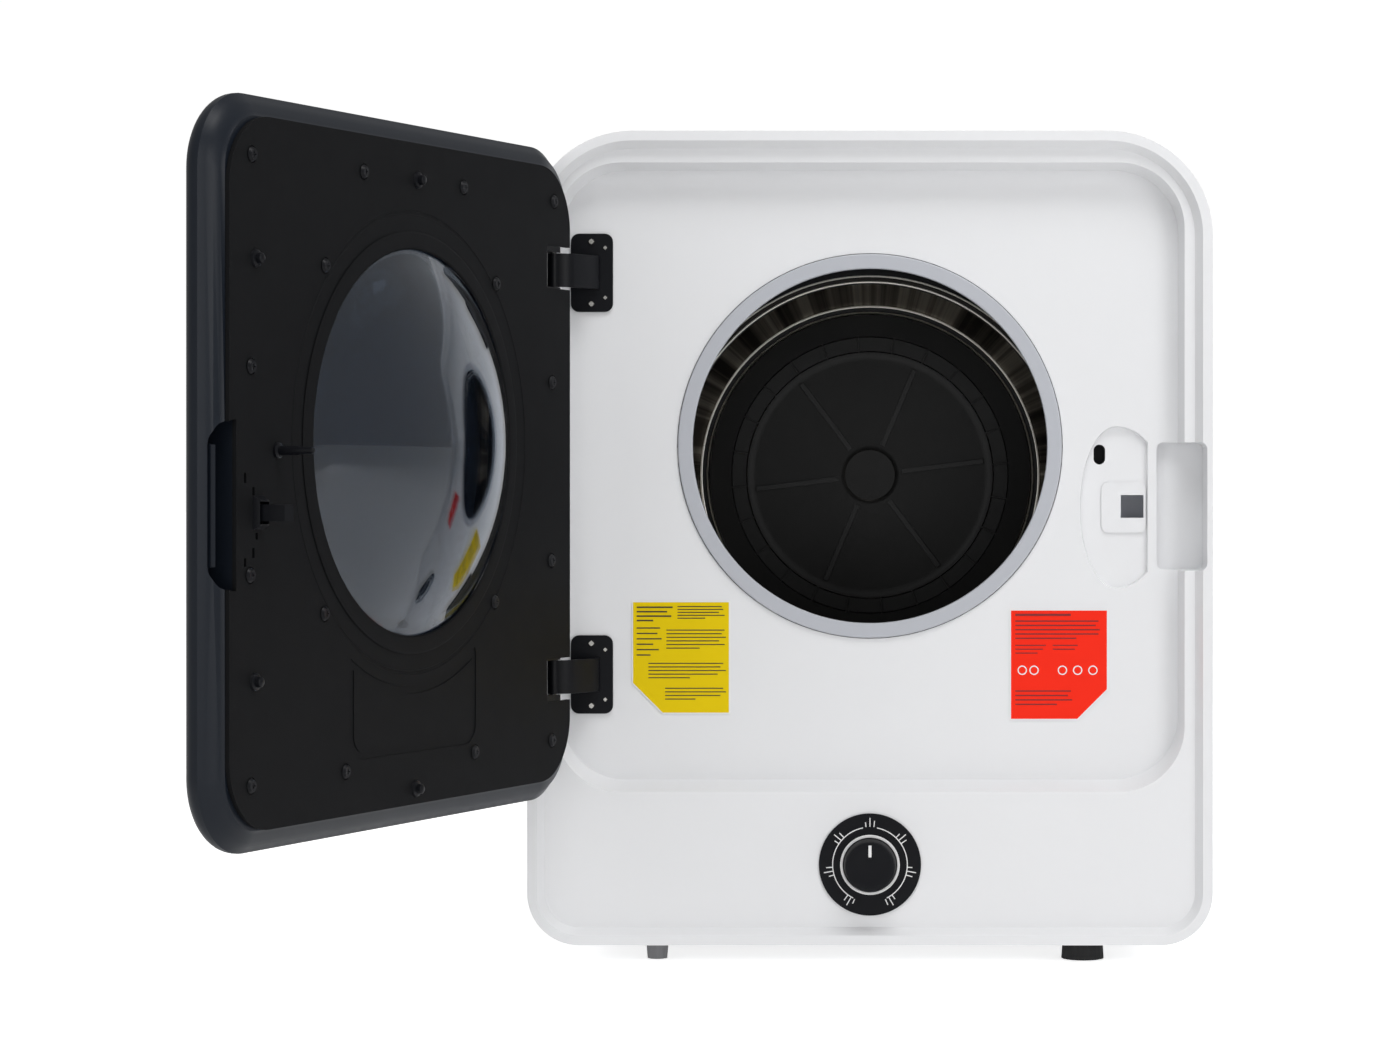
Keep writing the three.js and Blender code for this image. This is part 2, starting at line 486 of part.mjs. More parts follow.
// ---------------------------------------------------------------- controls
const DIAL_Y = STEP_Y;
add("dial_plate", cut(rod(KNOB.x, KNOB.z, KNOB.dialRadius, DIAL_Y - 1.5, DIAL_Y - GAP, 48),
  rod(KNOB.x, KNOB.z, 7, -210, -180, 20)), BLACK_PLASTIC);
add("timer_knob", join(
  turned(KNOB.x, KNOB.z, [
    [0, DIAL_Y - 19], [KNOB.radius - 3, DIAL_Y - 19], [KNOB.radius - 1, DIAL_Y - 17],
    [KNOB.radius, DIAL_Y - 3], [0, DIAL_Y - 3],
  ], 40),
  rod(KNOB.x, KNOB.z, 5, DIAL_Y - 4, DIAL_Y + 9, 16),
), BLACK_PLASTIC);
add("knob_ring", turned(KNOB.x, KNOB.z, [
  [KNOB.radius + 0.4, DIAL_Y - 4.5], [KNOB.radius + 2.4, DIAL_Y - 4.5],
  [KNOB.radius + 2.4, DIAL_Y - 1.9], [KNOB.radius + 0.4, DIAL_Y - 1.9],
], 48), WHITE_PLASTIC);
add("timer_body", cut(box(KNOB.x - 26, KNOB.x + 26, DIAL_Y + 3 + GAP, DIAL_Y + 36, KNOB.z - 24, KNOB.z + 24),
  rod(KNOB.x, KNOB.z, 5.5, -192, DIAL_Y + 12, 16)), GREY_PLASTIC);

// ---------------------------------------------------------------- latch, switch, labels, hinge plates
const PAD_FLOOR = RECESS.floor + PAD_DEPTH;
add("latch_cover", cut(
  prism(roundedRect(167.3, 199.6, 310.4, 346.9, 5, 5, 3), PAD_FLOOR - 1.3, PAD_FLOOR - GAP),
  box(LATCH.x - LATCH.hole / 2, LATCH.x + LATCH.hole / 2, -190, -160, LATCH.z - LATCH.hole / 2, LATCH.z + LATCH.hole / 2),
), WHITE_PLASTIC);
add("latch_strike", cut(
  box(LATCH.x - 16, LATCH.x + 14, PAD_FLOOR + 3 + GAP, PAD_FLOOR + 22, LATCH.z - 14, LATCH.z + 14),
  box(LATCH.x - 11, LATCH.x + 12, -190, PAD_FLOOR + 20, LATCH.z - 10.5, LATCH.z + 10.5),
), DARK_METAL);
add("door_switch", cut(
  box(SWITCH.x - 9, SWITCH.x + 9, PAD_FLOOR + 3 + GAP, PAD_FLOOR + 22, SWITCH.z - 12, SWITCH.z + 12),
  prism(switchSlot(0), -190, PAD_FLOOR + 20),
), BLACK_PLASTIC);
add("switch_plunger", prism(switchSlot(0.5), PAD_FLOOR + 9, PAD_FLOOR + 16), BLACK_PLASTIC);

const label = (left, right, bottom, top, chamferX, chamferZ, side) => {
  const corner = side === "left"
    ? [[left + chamferX, bottom], [right, bottom], [right, top], [left, top], [left, bottom + chamferZ]]
    : [[left, bottom], [right - chamferX, bottom], [right, bottom + chamferZ], [right, top], [left, top]];
  return prism(corner, RECESS.floor - GAP - 0.3, RECESS.floor - GAP);
};
add("notice_label_left", label(-172, -101, 179.5, 261, 21.5, 26, "left"), YELLOW);
add("notice_label_right", label(101, 172, 175, 255, 22, 25, "right"), RED);

function hingePlate(z) {
  const plateBack = RECESS.floor - GAP;
  const plate = prism(roundedRect(-216, -185.5, z - 28.3, z + 28.3, 6, 6, 3), plateBack - 1.8, plateBack);
  const arm = upright([
    [-208, plateBack - 1], [-196, plateBack - 1], [-196, plateBack - 6], [-203, -191], [-213, -203],
    [HINGE.x + 1, HINGE.y - 3.6], [HINGE.x - 3, HINGE.y - 2], [HINGE.x, HINGE.y + 3.6], [-216, -199], [-208, -189],
  ], z - HINGE.armHeight / 2, z + HINGE.armHeight / 2);
  const knuckle = post(HINGE.x, HINGE.y, HINGE.knuckleRadius, z - HINGE.armHeight / 2, z + HINGE.armHeight / 2, 20);
  return cut(join(plate, arm, knuckle), post(HINGE.x, HINGE.y, HINGE.pinRadius + 0.35, z - 40, z + 40, 16));
}
HINGE.zs.forEach((z, i) => add(["hinge_plate_lower", "hinge_plate_upper"][i], hingePlate(z), BLACK_PLASTIC));

add("cord_gland", join(
  rod(-175, 62, 7.6, 180, 196, 20), rod(-175, 62, 12, REAR_Y + 2.6, REAR_Y + 6, 20), rod(-175, 62, 5, 194, 208, 16),
), BLACK_PLASTIC);

// ---------------------------------------------------------------- door, drawn shut
const doorOutline = (inset) => roundedRect(-DOOR.halfWidth + inset, DOOR.halfWidth - inset,
  DOOR.middle - DOOR.height / 2 + inset, DOOR.middle + DOOR.height / 2 - inset,
  Math.max(DOOR.radius - inset * 0.4, 12));

const hingePocket = (z, extra = 0) => box(-DOOR.halfWidth - 2, -183, HINGE.y - 6.2, DOOR.panelFaceY + 2,
  z - HINGE.pocketHeight / 2 - extra, z + HINGE.pocketHeight / 2 + extra);
const SCOOP = { left: 208, bottom: 283, top: 385 };
const scoopCut = (left, grow) => box(left - grow, DOOR.halfWidth + 4, -206 - grow, -170,
  SCOOP.bottom - grow, SCOOP.top + grow);

function doorOuterShell() {
  const skin = 2.6;
  const outer = loft([
    { y: DOOR.faceY, outline: doorOutline(15) },
    { y: DOOR.faceY + 1, outline: doorOutline(10.5) },
    { y: DOOR.faceY + 4, outline: doorOutline(5.5) },
    { y: DOOR.faceY + 8, outline: doorOutline(2) },
    { y: DOOR.edgeY - 2, outline: doorOutline(0.3) },
    { y: DOOR.edgeY, outline: doorOutline(0) },
    { y: DOOR.edgeY + 3, outline: doorOutline(3.5) },
    { y: DOOR.edgeY + 6.5, outline: doorOutline(7) },
    { y: DOOR.panelFaceY - 3, outline: doorOutline(DOOR.rimInset) },
  ]);
  const cavity = loft([
    { y: DOOR.faceY + skin, outline: doorOutline(18) },
    { y: DOOR.faceY + skin + 1, outline: doorOutline(14) },
    { y: DOOR.faceY + skin + 4.4, outline: doorOutline(8) },
    { y: DOOR.edgeY - 1, outline: doorOutline(3) },
    { y: DOOR.edgeY + 5, outline: doorOutline(9.6) },
    { y: DOOR.panelFaceY - 5.6, outline: doorOutline(DOOR.rimInset + 1.5) },
    { y: DOOR.panelFaceY - 5.5, outline: doorOutline(28) },
    { y: DOOR.panelFaceY, outline: doorOutline(28) },
  ]);
  const shell = cut(outer, cavity, rod(MOUTH.x, MOUTH.z, WINDOW.outerRadius, -225, DOOR.faceY + 8, 64),
    ...HINGE.zs.map((z) => hingePocket(z, 9.5)));
  const scoopBlock = box(SCOOP.left - 2, DOOR.halfWidth, -208.5, DOOR.panelFaceY - 6.5, SCOOP.bottom - 2, SCOOP.top + 2);
  const scoopWall = toGeometry(toSolid(cut(scoopBlock, scoopCut(SCOOP.left, 0))).intersect(toSolid(outer)));
  return cut(join(shell, scoopWall), scoopCut(SCOOP.left, 0));
}
addToDoor("door_outer_shell", doorOuterShell(), DOOR_BLUE);

const PANEL_SKIN = 2.7;
const PANEL_SCREWS = [
  [-193, 544], [-64, 544], [64, 544], [193, 544], [-109, 482], [110, 482], [-190, 417], [194, 417],
  [-189, 292], [195, 292], [-107, 266], [111, 266], [-190, 166], [-79.5, 166], [86, 166], [194, 166],
];
function doorInnerPanel() {
  const half = DOOR.halfWidth - DOOR.rimInset;
  const reach = DOOR.height / 2 - DOOR.rimInset;
  const plate = prism(roundedRect(-half, half, DOOR.middle - reach, DOOR.middle + reach, DOOR.panelRadius),
    DOOR.panelFaceY - PANEL_SKIN, DOOR.panelFaceY);
  const screwHoles = PANEL_SCREWS.map(([x, z]) => rod(x, z, 3.2, DOOR.panelFaceY - 8, DOOR.panelFaceY + 2, 8));
  return cut(plate, rod(MOUTH.x, MOUTH.z, WINDOW.radius + 4.4, DOOR.panelFaceY - 8, DOOR.panelFaceY + 2, 64),
    ...HINGE.zs.map((z) => hingePocket(z)), scoopCut(SCOOP.left + 1, 0), ...screwHoles,
    box(LATCH.x - 8, LATCH.x + 1, DOOR.panelFaceY - 8, DOOR.panelFaceY + 2, LATCH.z - 7, LATCH.z + 7),
    rod(SWITCH.x, SWITCH.z, 3, DOOR.panelFaceY - 8, DOOR.panelFaceY + 2, 12));
}
addToDoor("door_inner_panel", doorInnerPanel(), BLACK_PLASTIC);

const capPoints = (radius, rise, skin, base, side) => {
  const sphere = (radius * radius + rise * rise) / (2 * rise);
  return Array.from({ length: 9 }, (_, i) => {
    const r = (radius * i) / 8;
    const height = Math.sqrt(sphere * sphere - r * r) - (sphere - rise);
    return [r, base + side * height - skin];
  });
};
const bowlOuter = capPoints(WINDOW.radius, WINDOW.rise, 0, DOOR.panelFaceY + GAP, 1);
const bowlInner = capPoints(WINDOW.radius - 2, WINDOW.rise - 1, WINDOW.skin, DOOR.panelFaceY + GAP, 1);
addToDoor("window_bowl", turned(MOUTH.x, MOUTH.z, [
  ...bowlInner, [WINDOW.radius + 3.8, DOOR.panelFaceY - WINDOW.skin + GAP],
  [WINDOW.radius + 3.8, DOOR.panelFaceY - GAP], ...bowlOuter.reverse(),
], 56), CLEAR);
addToDoor("window_ring", turned(MOUTH.x, MOUTH.z, [
  [WINDOW.radius + 1.2, DOOR.panelFaceY + 2 * GAP], [WINDOW.radius + 2.6, DOOR.panelFaceY + 1.4],
  [WINDOW.ringOuter - 2, DOOR.panelFaceY + 1.4], [WINDOW.ringOuter, DOOR.panelFaceY + 2 * GAP],
], 56), BLACK_PLASTIC);
addToDoor("window_pane_outer", turned(MOUTH.x, MOUTH.z, [
  [0, DOOR.faceY - 0.8], [110, DOOR.faceY - 0.2], [WINDOW.outerRadius - GAP, DOOR.faceY + 0.6],
  [WINDOW.outerRadius - GAP, DOOR.faceY + 3.4], [0, DOOR.faceY + 3.4],
], 56), TINTED);

HINGE.zs.forEach((z, i) => {
  const place = ["lower", "upper"][i];
  const reach = HINGE.pocketHeight / 2;
  addToDoor(`hinge_pin_${place}`, post(HINGE.x, HINGE.y, HINGE.pinRadius, z - reach - 8, z + reach + 8, 16), STEEL);
  const ears = [-1, 1].map((side) => {
    const low = side < 0 ? z - reach - 9 : z + reach - 2.6;
    return box(HINGE.x - 1.6, -190, HINGE.y - 5, HINGE.y + 5, low, low + 11.6);
  });
  const web = box(-193, -186, HINGE.y - 5, HINGE.y + 12, z - reach - 9, z + reach + 9);
  addToDoor(`hinge_bracket_${place}`, cut(join(web, ...ears),
    post(HINGE.x, HINGE.y, HINGE.pinRadius + GAP, z - 60, z + 60, 16)), DARK_METAL);
});

addToDoor("switch_pin", join(
  rod(SWITCH.x - 0.8, SWITCH.z, SWITCH.pinRadius, DOOR.panelFaceY - 4, DOOR.panelFaceY + 26, 12),
  rod(SWITCH.x - 0.8, SWITCH.z, 5.5, DOOR.panelFaceY - 6.6, DOOR.panelFaceY - PANEL_SKIN - GAP, 16),
), BLACK_PLASTIC);

// The hook pivots inside the door and its nose reaches through the inner panel.
const HOOK_PIVOT = { x: LATCH.x - 3, y: DOOR.panelFaceY - 16 };
addToDoor("latch_hook", upright([
  [HOOK_PIVOT.x - 4, HOOK_PIVOT.y - 4], [HOOK_PIVOT.x + 3, HOOK_PIVOT.y - 4], [LATCH.x - 1, DOOR.panelFaceY + 8],
  [LATCH.x - 1, DOOR.panelFaceY + 20], [LATCH.x - 3, DOOR.panelFaceY + 25], [LATCH.x - 7, DOOR.panelFaceY + 20],
  [LATCH.x - 5.5, DOOR.panelFaceY + 19], [LATCH.x - 5.5, DOOR.panelFaceY],
], LATCH.z - 5, LATCH.z + 5), BLACK_PLASTIC);

// The release lever stands in the door's finger scoop and turns about its inner edge.
const LEVER = { x: 213, y: -202 };
addToDoor("release_lever", upright([
  [LEVER.x - 2, LEVER.y - 2], [LEVER.x + 2, LEVER.y - 2], [LEVER.x + 12, LEVER.y + 5],
  [LEVER.x + 12, LEVER.y + 8], [LEVER.x + 9, LEVER.y + 8], [LEVER.x - 2, LEVER.y + 2],
], SCOOP.bottom + 11, SCOOP.top - 11), DOOR_BLUE);

export default dryer;
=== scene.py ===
"""Compact clothes dryer with its door open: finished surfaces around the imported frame."""
import json

import bmesh
import bpy
from math import cos, pi, radians, sin
from mathutils import Matrix, Vector


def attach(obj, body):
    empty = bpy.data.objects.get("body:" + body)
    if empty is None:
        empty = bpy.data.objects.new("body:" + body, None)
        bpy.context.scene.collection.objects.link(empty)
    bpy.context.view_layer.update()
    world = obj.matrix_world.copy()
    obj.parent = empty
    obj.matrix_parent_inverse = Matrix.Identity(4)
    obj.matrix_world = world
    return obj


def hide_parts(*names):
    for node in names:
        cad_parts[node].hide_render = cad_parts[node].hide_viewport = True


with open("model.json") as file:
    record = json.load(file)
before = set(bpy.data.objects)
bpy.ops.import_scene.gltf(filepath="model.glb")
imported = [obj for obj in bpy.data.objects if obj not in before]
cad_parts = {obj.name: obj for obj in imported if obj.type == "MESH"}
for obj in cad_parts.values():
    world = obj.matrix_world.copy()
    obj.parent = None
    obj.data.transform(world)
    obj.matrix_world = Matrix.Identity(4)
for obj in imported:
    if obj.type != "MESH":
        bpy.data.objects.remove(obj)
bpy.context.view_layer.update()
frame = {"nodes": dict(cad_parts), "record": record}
MM = 0.001
FULL_TURN = 2 * pi

# ------------------------------------------------------------------ sizes, in millimetres
FRONT_Y, LEDGE_Y, WELL_Y, SEAM_Y, REAR_Y = -200, -192, -172, -155, 190
CABINET_HALF, CABINET_LOW, CABINET_HIGH = 245, 16, 598
CABINET_RADII = (75, 37)  # top corners, bottom corners
MOUTH_Z, DRUM_Z, DIAL_Z = 373, 352, 73
DOOR_HALF, DOOR_LOW, DOOR_HIGH = 231.5, 124, 582
DOOR_FACE_Y, DOOR_EDGE_Y, PANEL_Y = -213, -199, -186
HINGE_X, HINGE_Y, HINGE_ZS = -226, -204, (208, 498)
OPEN_ANGLE = radians(112.5)
SWITCH_X, SWITCH_Z = 166, 366.8
LATCH_X, LATCH_Z = 189.6, 329.3
SCOOP_Z = (283, 385)
WELL_HALF, WELL_LOW, WELL_HIGH, WELL_RADIUS = 225.5, 125, 576, 47
WELL_FLOOR_HALF, WELL_FLOOR_HEIGHT, WELL_FLOOR_RISE = 222.5, 440, 1.5
EAR_X, EAR_Z, EAR_CUT_X = 178, 328.7, 202  # the recess round the latch
LEAF_Y, LEAF_BACK_Y = -174.1, -172.3  # the hinge plates' two faces
REAR_SCREW_Y = 191.5
DIAL_PRINT_Y = (-193.9, -193.4)
SCREW_RISE, SCREW_TAPER, SCREW_RECESS = 1.6, 0.72, 0.8
DRUM_STEPS, WINDOW_STEPS, DIAL_STEPS = 144, 128, 96  # facets round each

# ------------------------------------------------------------------ studio strengths
ROOM_SEEN, ROOM_LIGHT = 1.02, 0.36  # the white room, to the camera and to the object
FLOOR_SEEN, FLOOR_LIGHT = 0.74, 0.24  # the floor's own glow, in the same way


# ------------------------------------------------------------------ shaders
def socket(group, name, kind, direction, value=None):
    """Adds one named socket to a shader group."""
    made = group.interface.new_socket(name=name, in_out=direction, socket_type=kind)
    if value is not None:
        made.default_value = value


def new_group(name, inputs, outputs):
    """A shader group with (name, kind, default) inputs and (name, kind) outputs."""
    group = bpy.data.node_groups.new(name, "ShaderNodeTree")
    for label, kind, value in inputs:
        socket(group, label, kind, "INPUT", value)
    for label, kind in outputs:
        socket(group, label, kind, "OUTPUT")
    return group, group.nodes.new("NodeGroupInput"), group.nodes.new("NodeGroupOutput")


def link(tree, source, target):
    """Joins an output socket to an input socket."""
    tree.links.new(source, target)


def maths(tree, operation, a, b, clamp=False):
    """A Math node; a and b are sockets or numbers."""
    node = tree.nodes.new("ShaderNodeMath")
    node.operation = operation
    node.use_clamp = clamp
    for slot_input, value in zip(node.inputs, (a, b)):
        if isinstance(value, (int, float)):
            slot_input.default_value = value
        else:
            link(tree, value, slot_input)
    return node.outputs[0]


def mix_colour(tree, factor, a, b, blend="MIX"):
    """A colour Mix node; the three values are sockets or constants."""
    node = tree.nodes.new("ShaderNodeMix")
    node.data_type = "RGBA"
    node.blend_type = blend
    for index, value in ((0, factor), (6, a), (7, b)):
        if isinstance(value, (int, float, tuple)):
            node.inputs[index].default_value = value
        else:
            link(tree, value, node.inputs[index])
    return node.outputs[2]


def noise(tree, vector, scale, detail=4.0, roughness=0.55):
    """A Noise node's value; scale is a socket or a number."""
    node = tree.nodes.new("ShaderNodeTexNoise")
    node.inputs["Detail"].default_value = detail
    node.inputs["Roughness"].default_value = roughness
    if isinstance(scale, (int, float)):
        node.inputs["Scale"].default_value = scale
    else:
        link(tree, scale, node.inputs["Scale"])
    link(tree, vector, node.inputs["Vector"])
    return node.outputs["Fac"]


def seen_and_lit(tree, seen, lit):
    """A strength that is one value to the camera and another to the object."""
    ray = tree.nodes.new("ShaderNodeLightPath")
    return maths(tree, "ADD", maths(tree, "MULTIPLY", ray.outputs["Is Camera Ray"], seen - lit), lit)


def build_surface_group():
    """Fine grain, slow tone drift and settled dust, shared by every moulded or painted finish."""
    group, given, out = new_group(
        "Moulded Surface",
        [("Vector", "NodeSocketVector", None), ("Colour", "NodeSocketColor", (0.8, 0.8, 0.8, 1)),
         ("Dust Colour", "NodeSocketColor", (0.55, 0.53, 0.5, 1)), ("Grain Scale", "NodeSocketFloat", 900.0),
         ("Tone Drift", "NodeSocketFloat", 0.04), ("Roughness", "NodeSocketFloat", 0.4),
         ("Roughness Drift", "NodeSocketFloat", 0.08), ("Dust", "NodeSocketFloat", 0.05)],
        [("Colour", "NodeSocketColor"), ("Roughness", "NodeSocketFloat"), ("Height", "NodeSocketFloat")])
    slow = noise(group, given.outputs["Vector"], 6.0, 3.0)
    patches = noise(group, given.outputs["Vector"], 38.0, 5.0, 0.65)
    grain = noise(group, given.outputs["Vector"], given.outputs["Grain Scale"], 2.0)
    drift = maths(group, "MULTIPLY", maths(group, "SUBTRACT", slow, 0.5), given.outputs["Tone Drift"])
    lift = maths(group, "ADD", drift, 1.0)
    tone = group.nodes.new("ShaderNodeCombineColor")
    for channel in tone.inputs:
        link(group, lift, channel)
    coloured = mix_colour(group, 1.0, given.outputs["Colour"], tone.outputs[0], "MULTIPLY")
    normal = group.nodes.new("ShaderNodeNewGeometry")
    split = group.nodes.new("ShaderNodeSeparateXYZ")
    link(group, normal.outputs["Normal"], split.inputs[0])
    facing_up = maths(group, "MULTIPLY", maths(group, "MAXIMUM", split.outputs[2], 0.0), patches, True)
    dusting = maths(group, "MULTIPLY", facing_up, given.outputs["Dust"], True)
    link(group, mix_colour(group, dusting, coloured, given.outputs["Dust Colour"]), out.inputs["Colour"])
    rough = maths(group, "MULTIPLY", maths(group, "SUBTRACT", patches, 0.5), given.outputs["Roughness Drift"])
    link(group, maths(group, "ADD", maths(group, "ADD", rough, given.outputs["Roughness"]), dusting, True),
         out.inputs["Roughness"])
    link(group, grain, out.inputs["Height"])
    return group


def build_brush_group():
    """Fine brushed lines that run along Y, as on drawn drum sheet."""
    group, given, out = new_group(
        "Drawn Lines",
        [("Vector", "NodeSocketVector", None), ("Line Scale", "NodeSocketFloat", 260.0)],
        [("Lines", "NodeSocketFloat")])
    stretch = group.nodes.new("ShaderNodeMapping")
    stretch.inputs["Scale"].default_value = (1.0, 0.02, 1.0)
    link(group, given.outputs["Vector"], stretch.inputs["Vector"])
    link(group, noise(group, stretch.outputs[0], given.outputs["Line Scale"], 3.0, 0.6), out.inputs["Lines"])
    return group


def build_scuff_group():
    """Sparse fine scuffs that lighten or dull a surface that hands and clothes rub."""
    group, given, out = new_group(
        "Scuffs",
        [("Vector", "NodeSocketVector", None), ("Amount", "NodeSocketFloat", 0.3)],
        [("Mask", "NodeSocketFloat")])
    stretch = group.nodes.new("ShaderNodeMapping")
    stretch.inputs["Scale"].default_value = (3.0, 40.0, 12.0)
    stretch.inputs["Rotation"].default_value = (0.3, 0.5, 0.2)
    link(group, given.outputs["Vector"], stretch.inputs["Vector"])
    painted_reflection_streaks = noise(group, stretch.outputs[0], 9.0, 6.0, 0.7)
    sparse = maths(group, "MULTIPLY", maths(group, "SUBTRACT", painted_reflection_streaks, 0.62), 9.0, True)
    link(group, maths(group, "MULTIPLY", sparse, given.outputs["Amount"], True), out.inputs["Mask"])
    return group


SURFACE = build_surface_group()
LINES = build_brush_group()
SCUFFS = build_scuff_group()


def finish(name, colour, roughness, metallic=0.0, coat=0.0, grain=(900.0, 0.05), tone=0.04, drift=0.08,
           dust=0.05, scuff=0.0, lines=0.0, specular=0.5):
    """A whole material: grain is (scale, bump strength); lines adds drawn lines to the roughness."""
    made = bpy.data.materials.new(name)
    made.use_nodes = True
    tree = made.node_tree
    shader = tree.nodes["Principled BSDF"]
    shader.inputs["Metallic"].default_value = metallic
    shader.inputs["Coat Weight"].default_value = coat
    shader.inputs["Coat Roughness"].default_value = 0.08
    shader.inputs["Specular IOR Level"].default_value = specular
    place = tree.nodes.new("ShaderNodeTexCoord").outputs["Object"]
    surface = tree.nodes.new("ShaderNodeGroup")
    surface.node_tree = SURFACE
    surface.inputs["Colour"].default_value = (*colour, 1)
    surface.inputs["Grain Scale"].default_value = grain[0]
    surface.inputs["Tone Drift"].default_value = tone
    surface.inputs["Roughness"].default_value = roughness
    surface.inputs["Roughness Drift"].default_value = drift
    surface.inputs["Dust"].default_value = dust
    link(tree, place, surface.inputs["Vector"])
    final_colour, final_rough = surface.outputs["Colour"], surface.outputs["Roughness"]
    if scuff:
        scuffs = tree.nodes.new("ShaderNodeGroup")
        scuffs.node_tree = SCUFFS
        scuffs.inputs["Amount"].default_value = scuff
        link(tree, place, scuffs.inputs["Vector"])
        paler = tuple(min(1.0, channel * 1.5 + 0.04) for channel in colour)
        final_colour = mix_colour(tree, scuffs.outputs["Mask"], final_colour, (*paler, 1))
        final_rough = maths(tree, "ADD", final_rough, scuffs.outputs["Mask"], True)
    if lines:
        drawn = tree.nodes.new("ShaderNodeGroup")
        drawn.node_tree = LINES
        link(tree, place, drawn.inputs["Vector"])
        offset = maths(tree, "MULTIPLY", maths(tree, "SUBTRACT", drawn.outputs["Lines"], 0.5), lines)
        final_rough = maths(tree, "ADD", final_rough, offset, True)
    link(tree, final_colour, shader.inputs["Base Color"])
    link(tree, final_rough, shader.inputs["Roughness"])
    bump = tree.nodes.new("ShaderNodeBump")
    bump.inputs["Strength"].default_value = grain[1]
    bump.inputs["Distance"].default_value = 0.0004
    link(tree, surface.outputs["Height"], bump.inputs["Height"])
    link(tree, bump.outputs["Normal"], shader.inputs["Normal"])
    return made


def glass(name, colour, roughness, clearness=1.0):
    """Clear or smoked moulded glass; clearness is how much light goes through."""
    made = finish(name, colour, roughness, tone=0.02, drift=0.02, dust=0.02, grain=(60.0, 0.02))
    shader = made.node_tree.nodes["Principled BSDF"]
    shader.inputs["Transmission Weight"].default_value = clearness
    shader.inputs["IOR"].default_value = 1.49
    return made


WHITE_MOULDING = finish("white_moulding", (0.80, 0.805, 0.82), 0.36, coat=0.25, grain=(1400.0, 0.04), tone=0.02)
WHITE_ENAMEL = finish("white_enamel", (0.78, 0.785, 0.80), 0.34, coat=0.3, grain=(2200.0, 0.10), tone=0.03, dust=0.1)
RING_GREY = finish("ring_grey", (0.47, 0.485, 0.525), 0.38, grain=(1600.0, 0.06), scuff=0.15)
PANEL_BLACK = finish("panel_black", (0.0075, 0.0078, 0.0086), 0.6, grain=(1500.0, 0.2), scuff=0.02, tone=0.2,
                     specular=0.06, dust=0.01)
SHELL_BLUE = finish("shell_blue", (0.0085, 0.0115, 0.0175), 0.34, grain=(700.0, 0.02), tone=0.15, specular=0.2,
                    dust=0.01)
HINGE_BLACK = finish("hinge_black", (0.0042, 0.0047, 0.0066), 0.36, grain=(1900.0, 0.15), scuff=0.08, specular=0.16,
                     dust=0.01)
DRUM_STEEL = finish("drum_steel", (0.33, 0.31, 0.285), 0.2, metallic=1.0, lines=0.22, tone=0.25, dust=0.0)
BRIGHT_STEEL = finish("bright_steel", (0.62, 0.61, 0.58), 0.22, metallic=1.0, lines=0.1, dust=0.02)
BEAD_STEEL = finish("bead_steel", (0.78, 0.76, 0.70), 0.3, metallic=0.7, lines=0.1, dust=0.0)
ZINC_PLATE = finish("zinc_plate", (0.45, 0.46, 0.47), 0.42, metallic=1.0, grain=(240.0, 0.1), tone=0.5, drift=0.3)
# dark iron for dark metal parts; on the drum neck this dark colour is painted shade
DARK_IRON_AND_GAP_SHADE = finish("dark_iron_and_gap_shade", (0.035, 0.036, 0.04), 0.5, metallic=0.6, grain=(500.0, 0.3), tone=0.4)
FILTER_BLACK = finish("filter_black", (0.0085, 0.0088, 0.0095), 0.42, grain=(1200.0, 0.2), tone=0.3, dust=0.0)
RIB_BLACK = finish("rib_black", (0.016, 0.0165, 0.0175), 0.35, grain=(1200.0, 0.2), tone=0.3, dust=0.0)
FOOT_RUBBER = finish("foot_rubber", (0.014, 0.014, 0.015), 0.75, grain=(1500.0, 0.4), tone=0.3, dust=0.2)
FOOT_GREY = finish("foot_grey", (0.24, 0.24, 0.25), 0.5, grain=(1200.0, 0.2), tone=0.1)
SEAL_FELT = finish("seal_felt", (0.016, 0.015, 0.014), 0.95, grain=(420.0, 0.9), tone=0.5, specular=0.1)
NOTICE_YELLOW = finish("notice_yellow", (0.80, 0.585, 0.003), 0.5, grain=(900.0, 0.05), tone=0.05, specular=0.1,
                       dust=0.0)
NOTICE_RED = finish("notice_red", (0.93, 0.027, 0.010), 0.5, grain=(900.0, 0.05), tone=0.05, specular=0.1, dust=0.0)
PRINT_WHITE = finish("print_white", (0.82, 0.82, 0.82), 0.5, tone=0.03)
PRINT_DARK = finish("print_dark", (0.05, 0.03, 0.01), 0.5, tone=0.1)
PRINT_MAROON = finish("print_maroon", (0.22, 0.01, 0.01), 0.5, tone=0.1)
BOWL_GLASS = glass("bowl_glass", (0.66, 0.76, 0.90), 0.03)
SMOKED_GLASS = glass("smoked_glass", (0.035, 0.042, 0.055), 0.05, 0.5)
SLOT_MATERIALS = {
    "white_plastic": WHITE_MOULDING, "white_metal": WHITE_ENAMEL, "light_grey": RING_GREY,
    "black_plastic": PANEL_BLACK, "door_blue": SHELL_BLUE, "steel": BRIGHT_STEEL, "zinc": ZINC_PLATE,
    "dark_metal": DARK_IRON_AND_GAP_SHADE, "rubber": FOOT_RUBBER, "grey_plastic": FOOT_GREY, "felt": SEAL_FELT,
    "clear": BOWL_GLASS, "tinted": SMOKED_GLASS, "yellow": NOTICE_YELLOW, "red": NOTICE_RED,
}


# ------------------------------------------------------------------ modelling helpers
def clear():
    """Deselects everything."""
    bpy.ops.object.select_all(action="DESELECT")


def only(obj):
    """Makes obj the one selected and active object."""
    clear()
    obj.select_set(True)
    bpy.context.view_layer.objects.active = obj


def place_mesh(obj):
    """Bakes the object's place, turn and scale into its mesh."""
    only(obj)
    bpy.ops.object.transform_apply(location=True, rotation=True, scale=True)


def active(name):
    """Names the active object and its mesh."""
    obj = bpy.context.active_object
    obj.name = name
    obj.data.name = name
    return obj


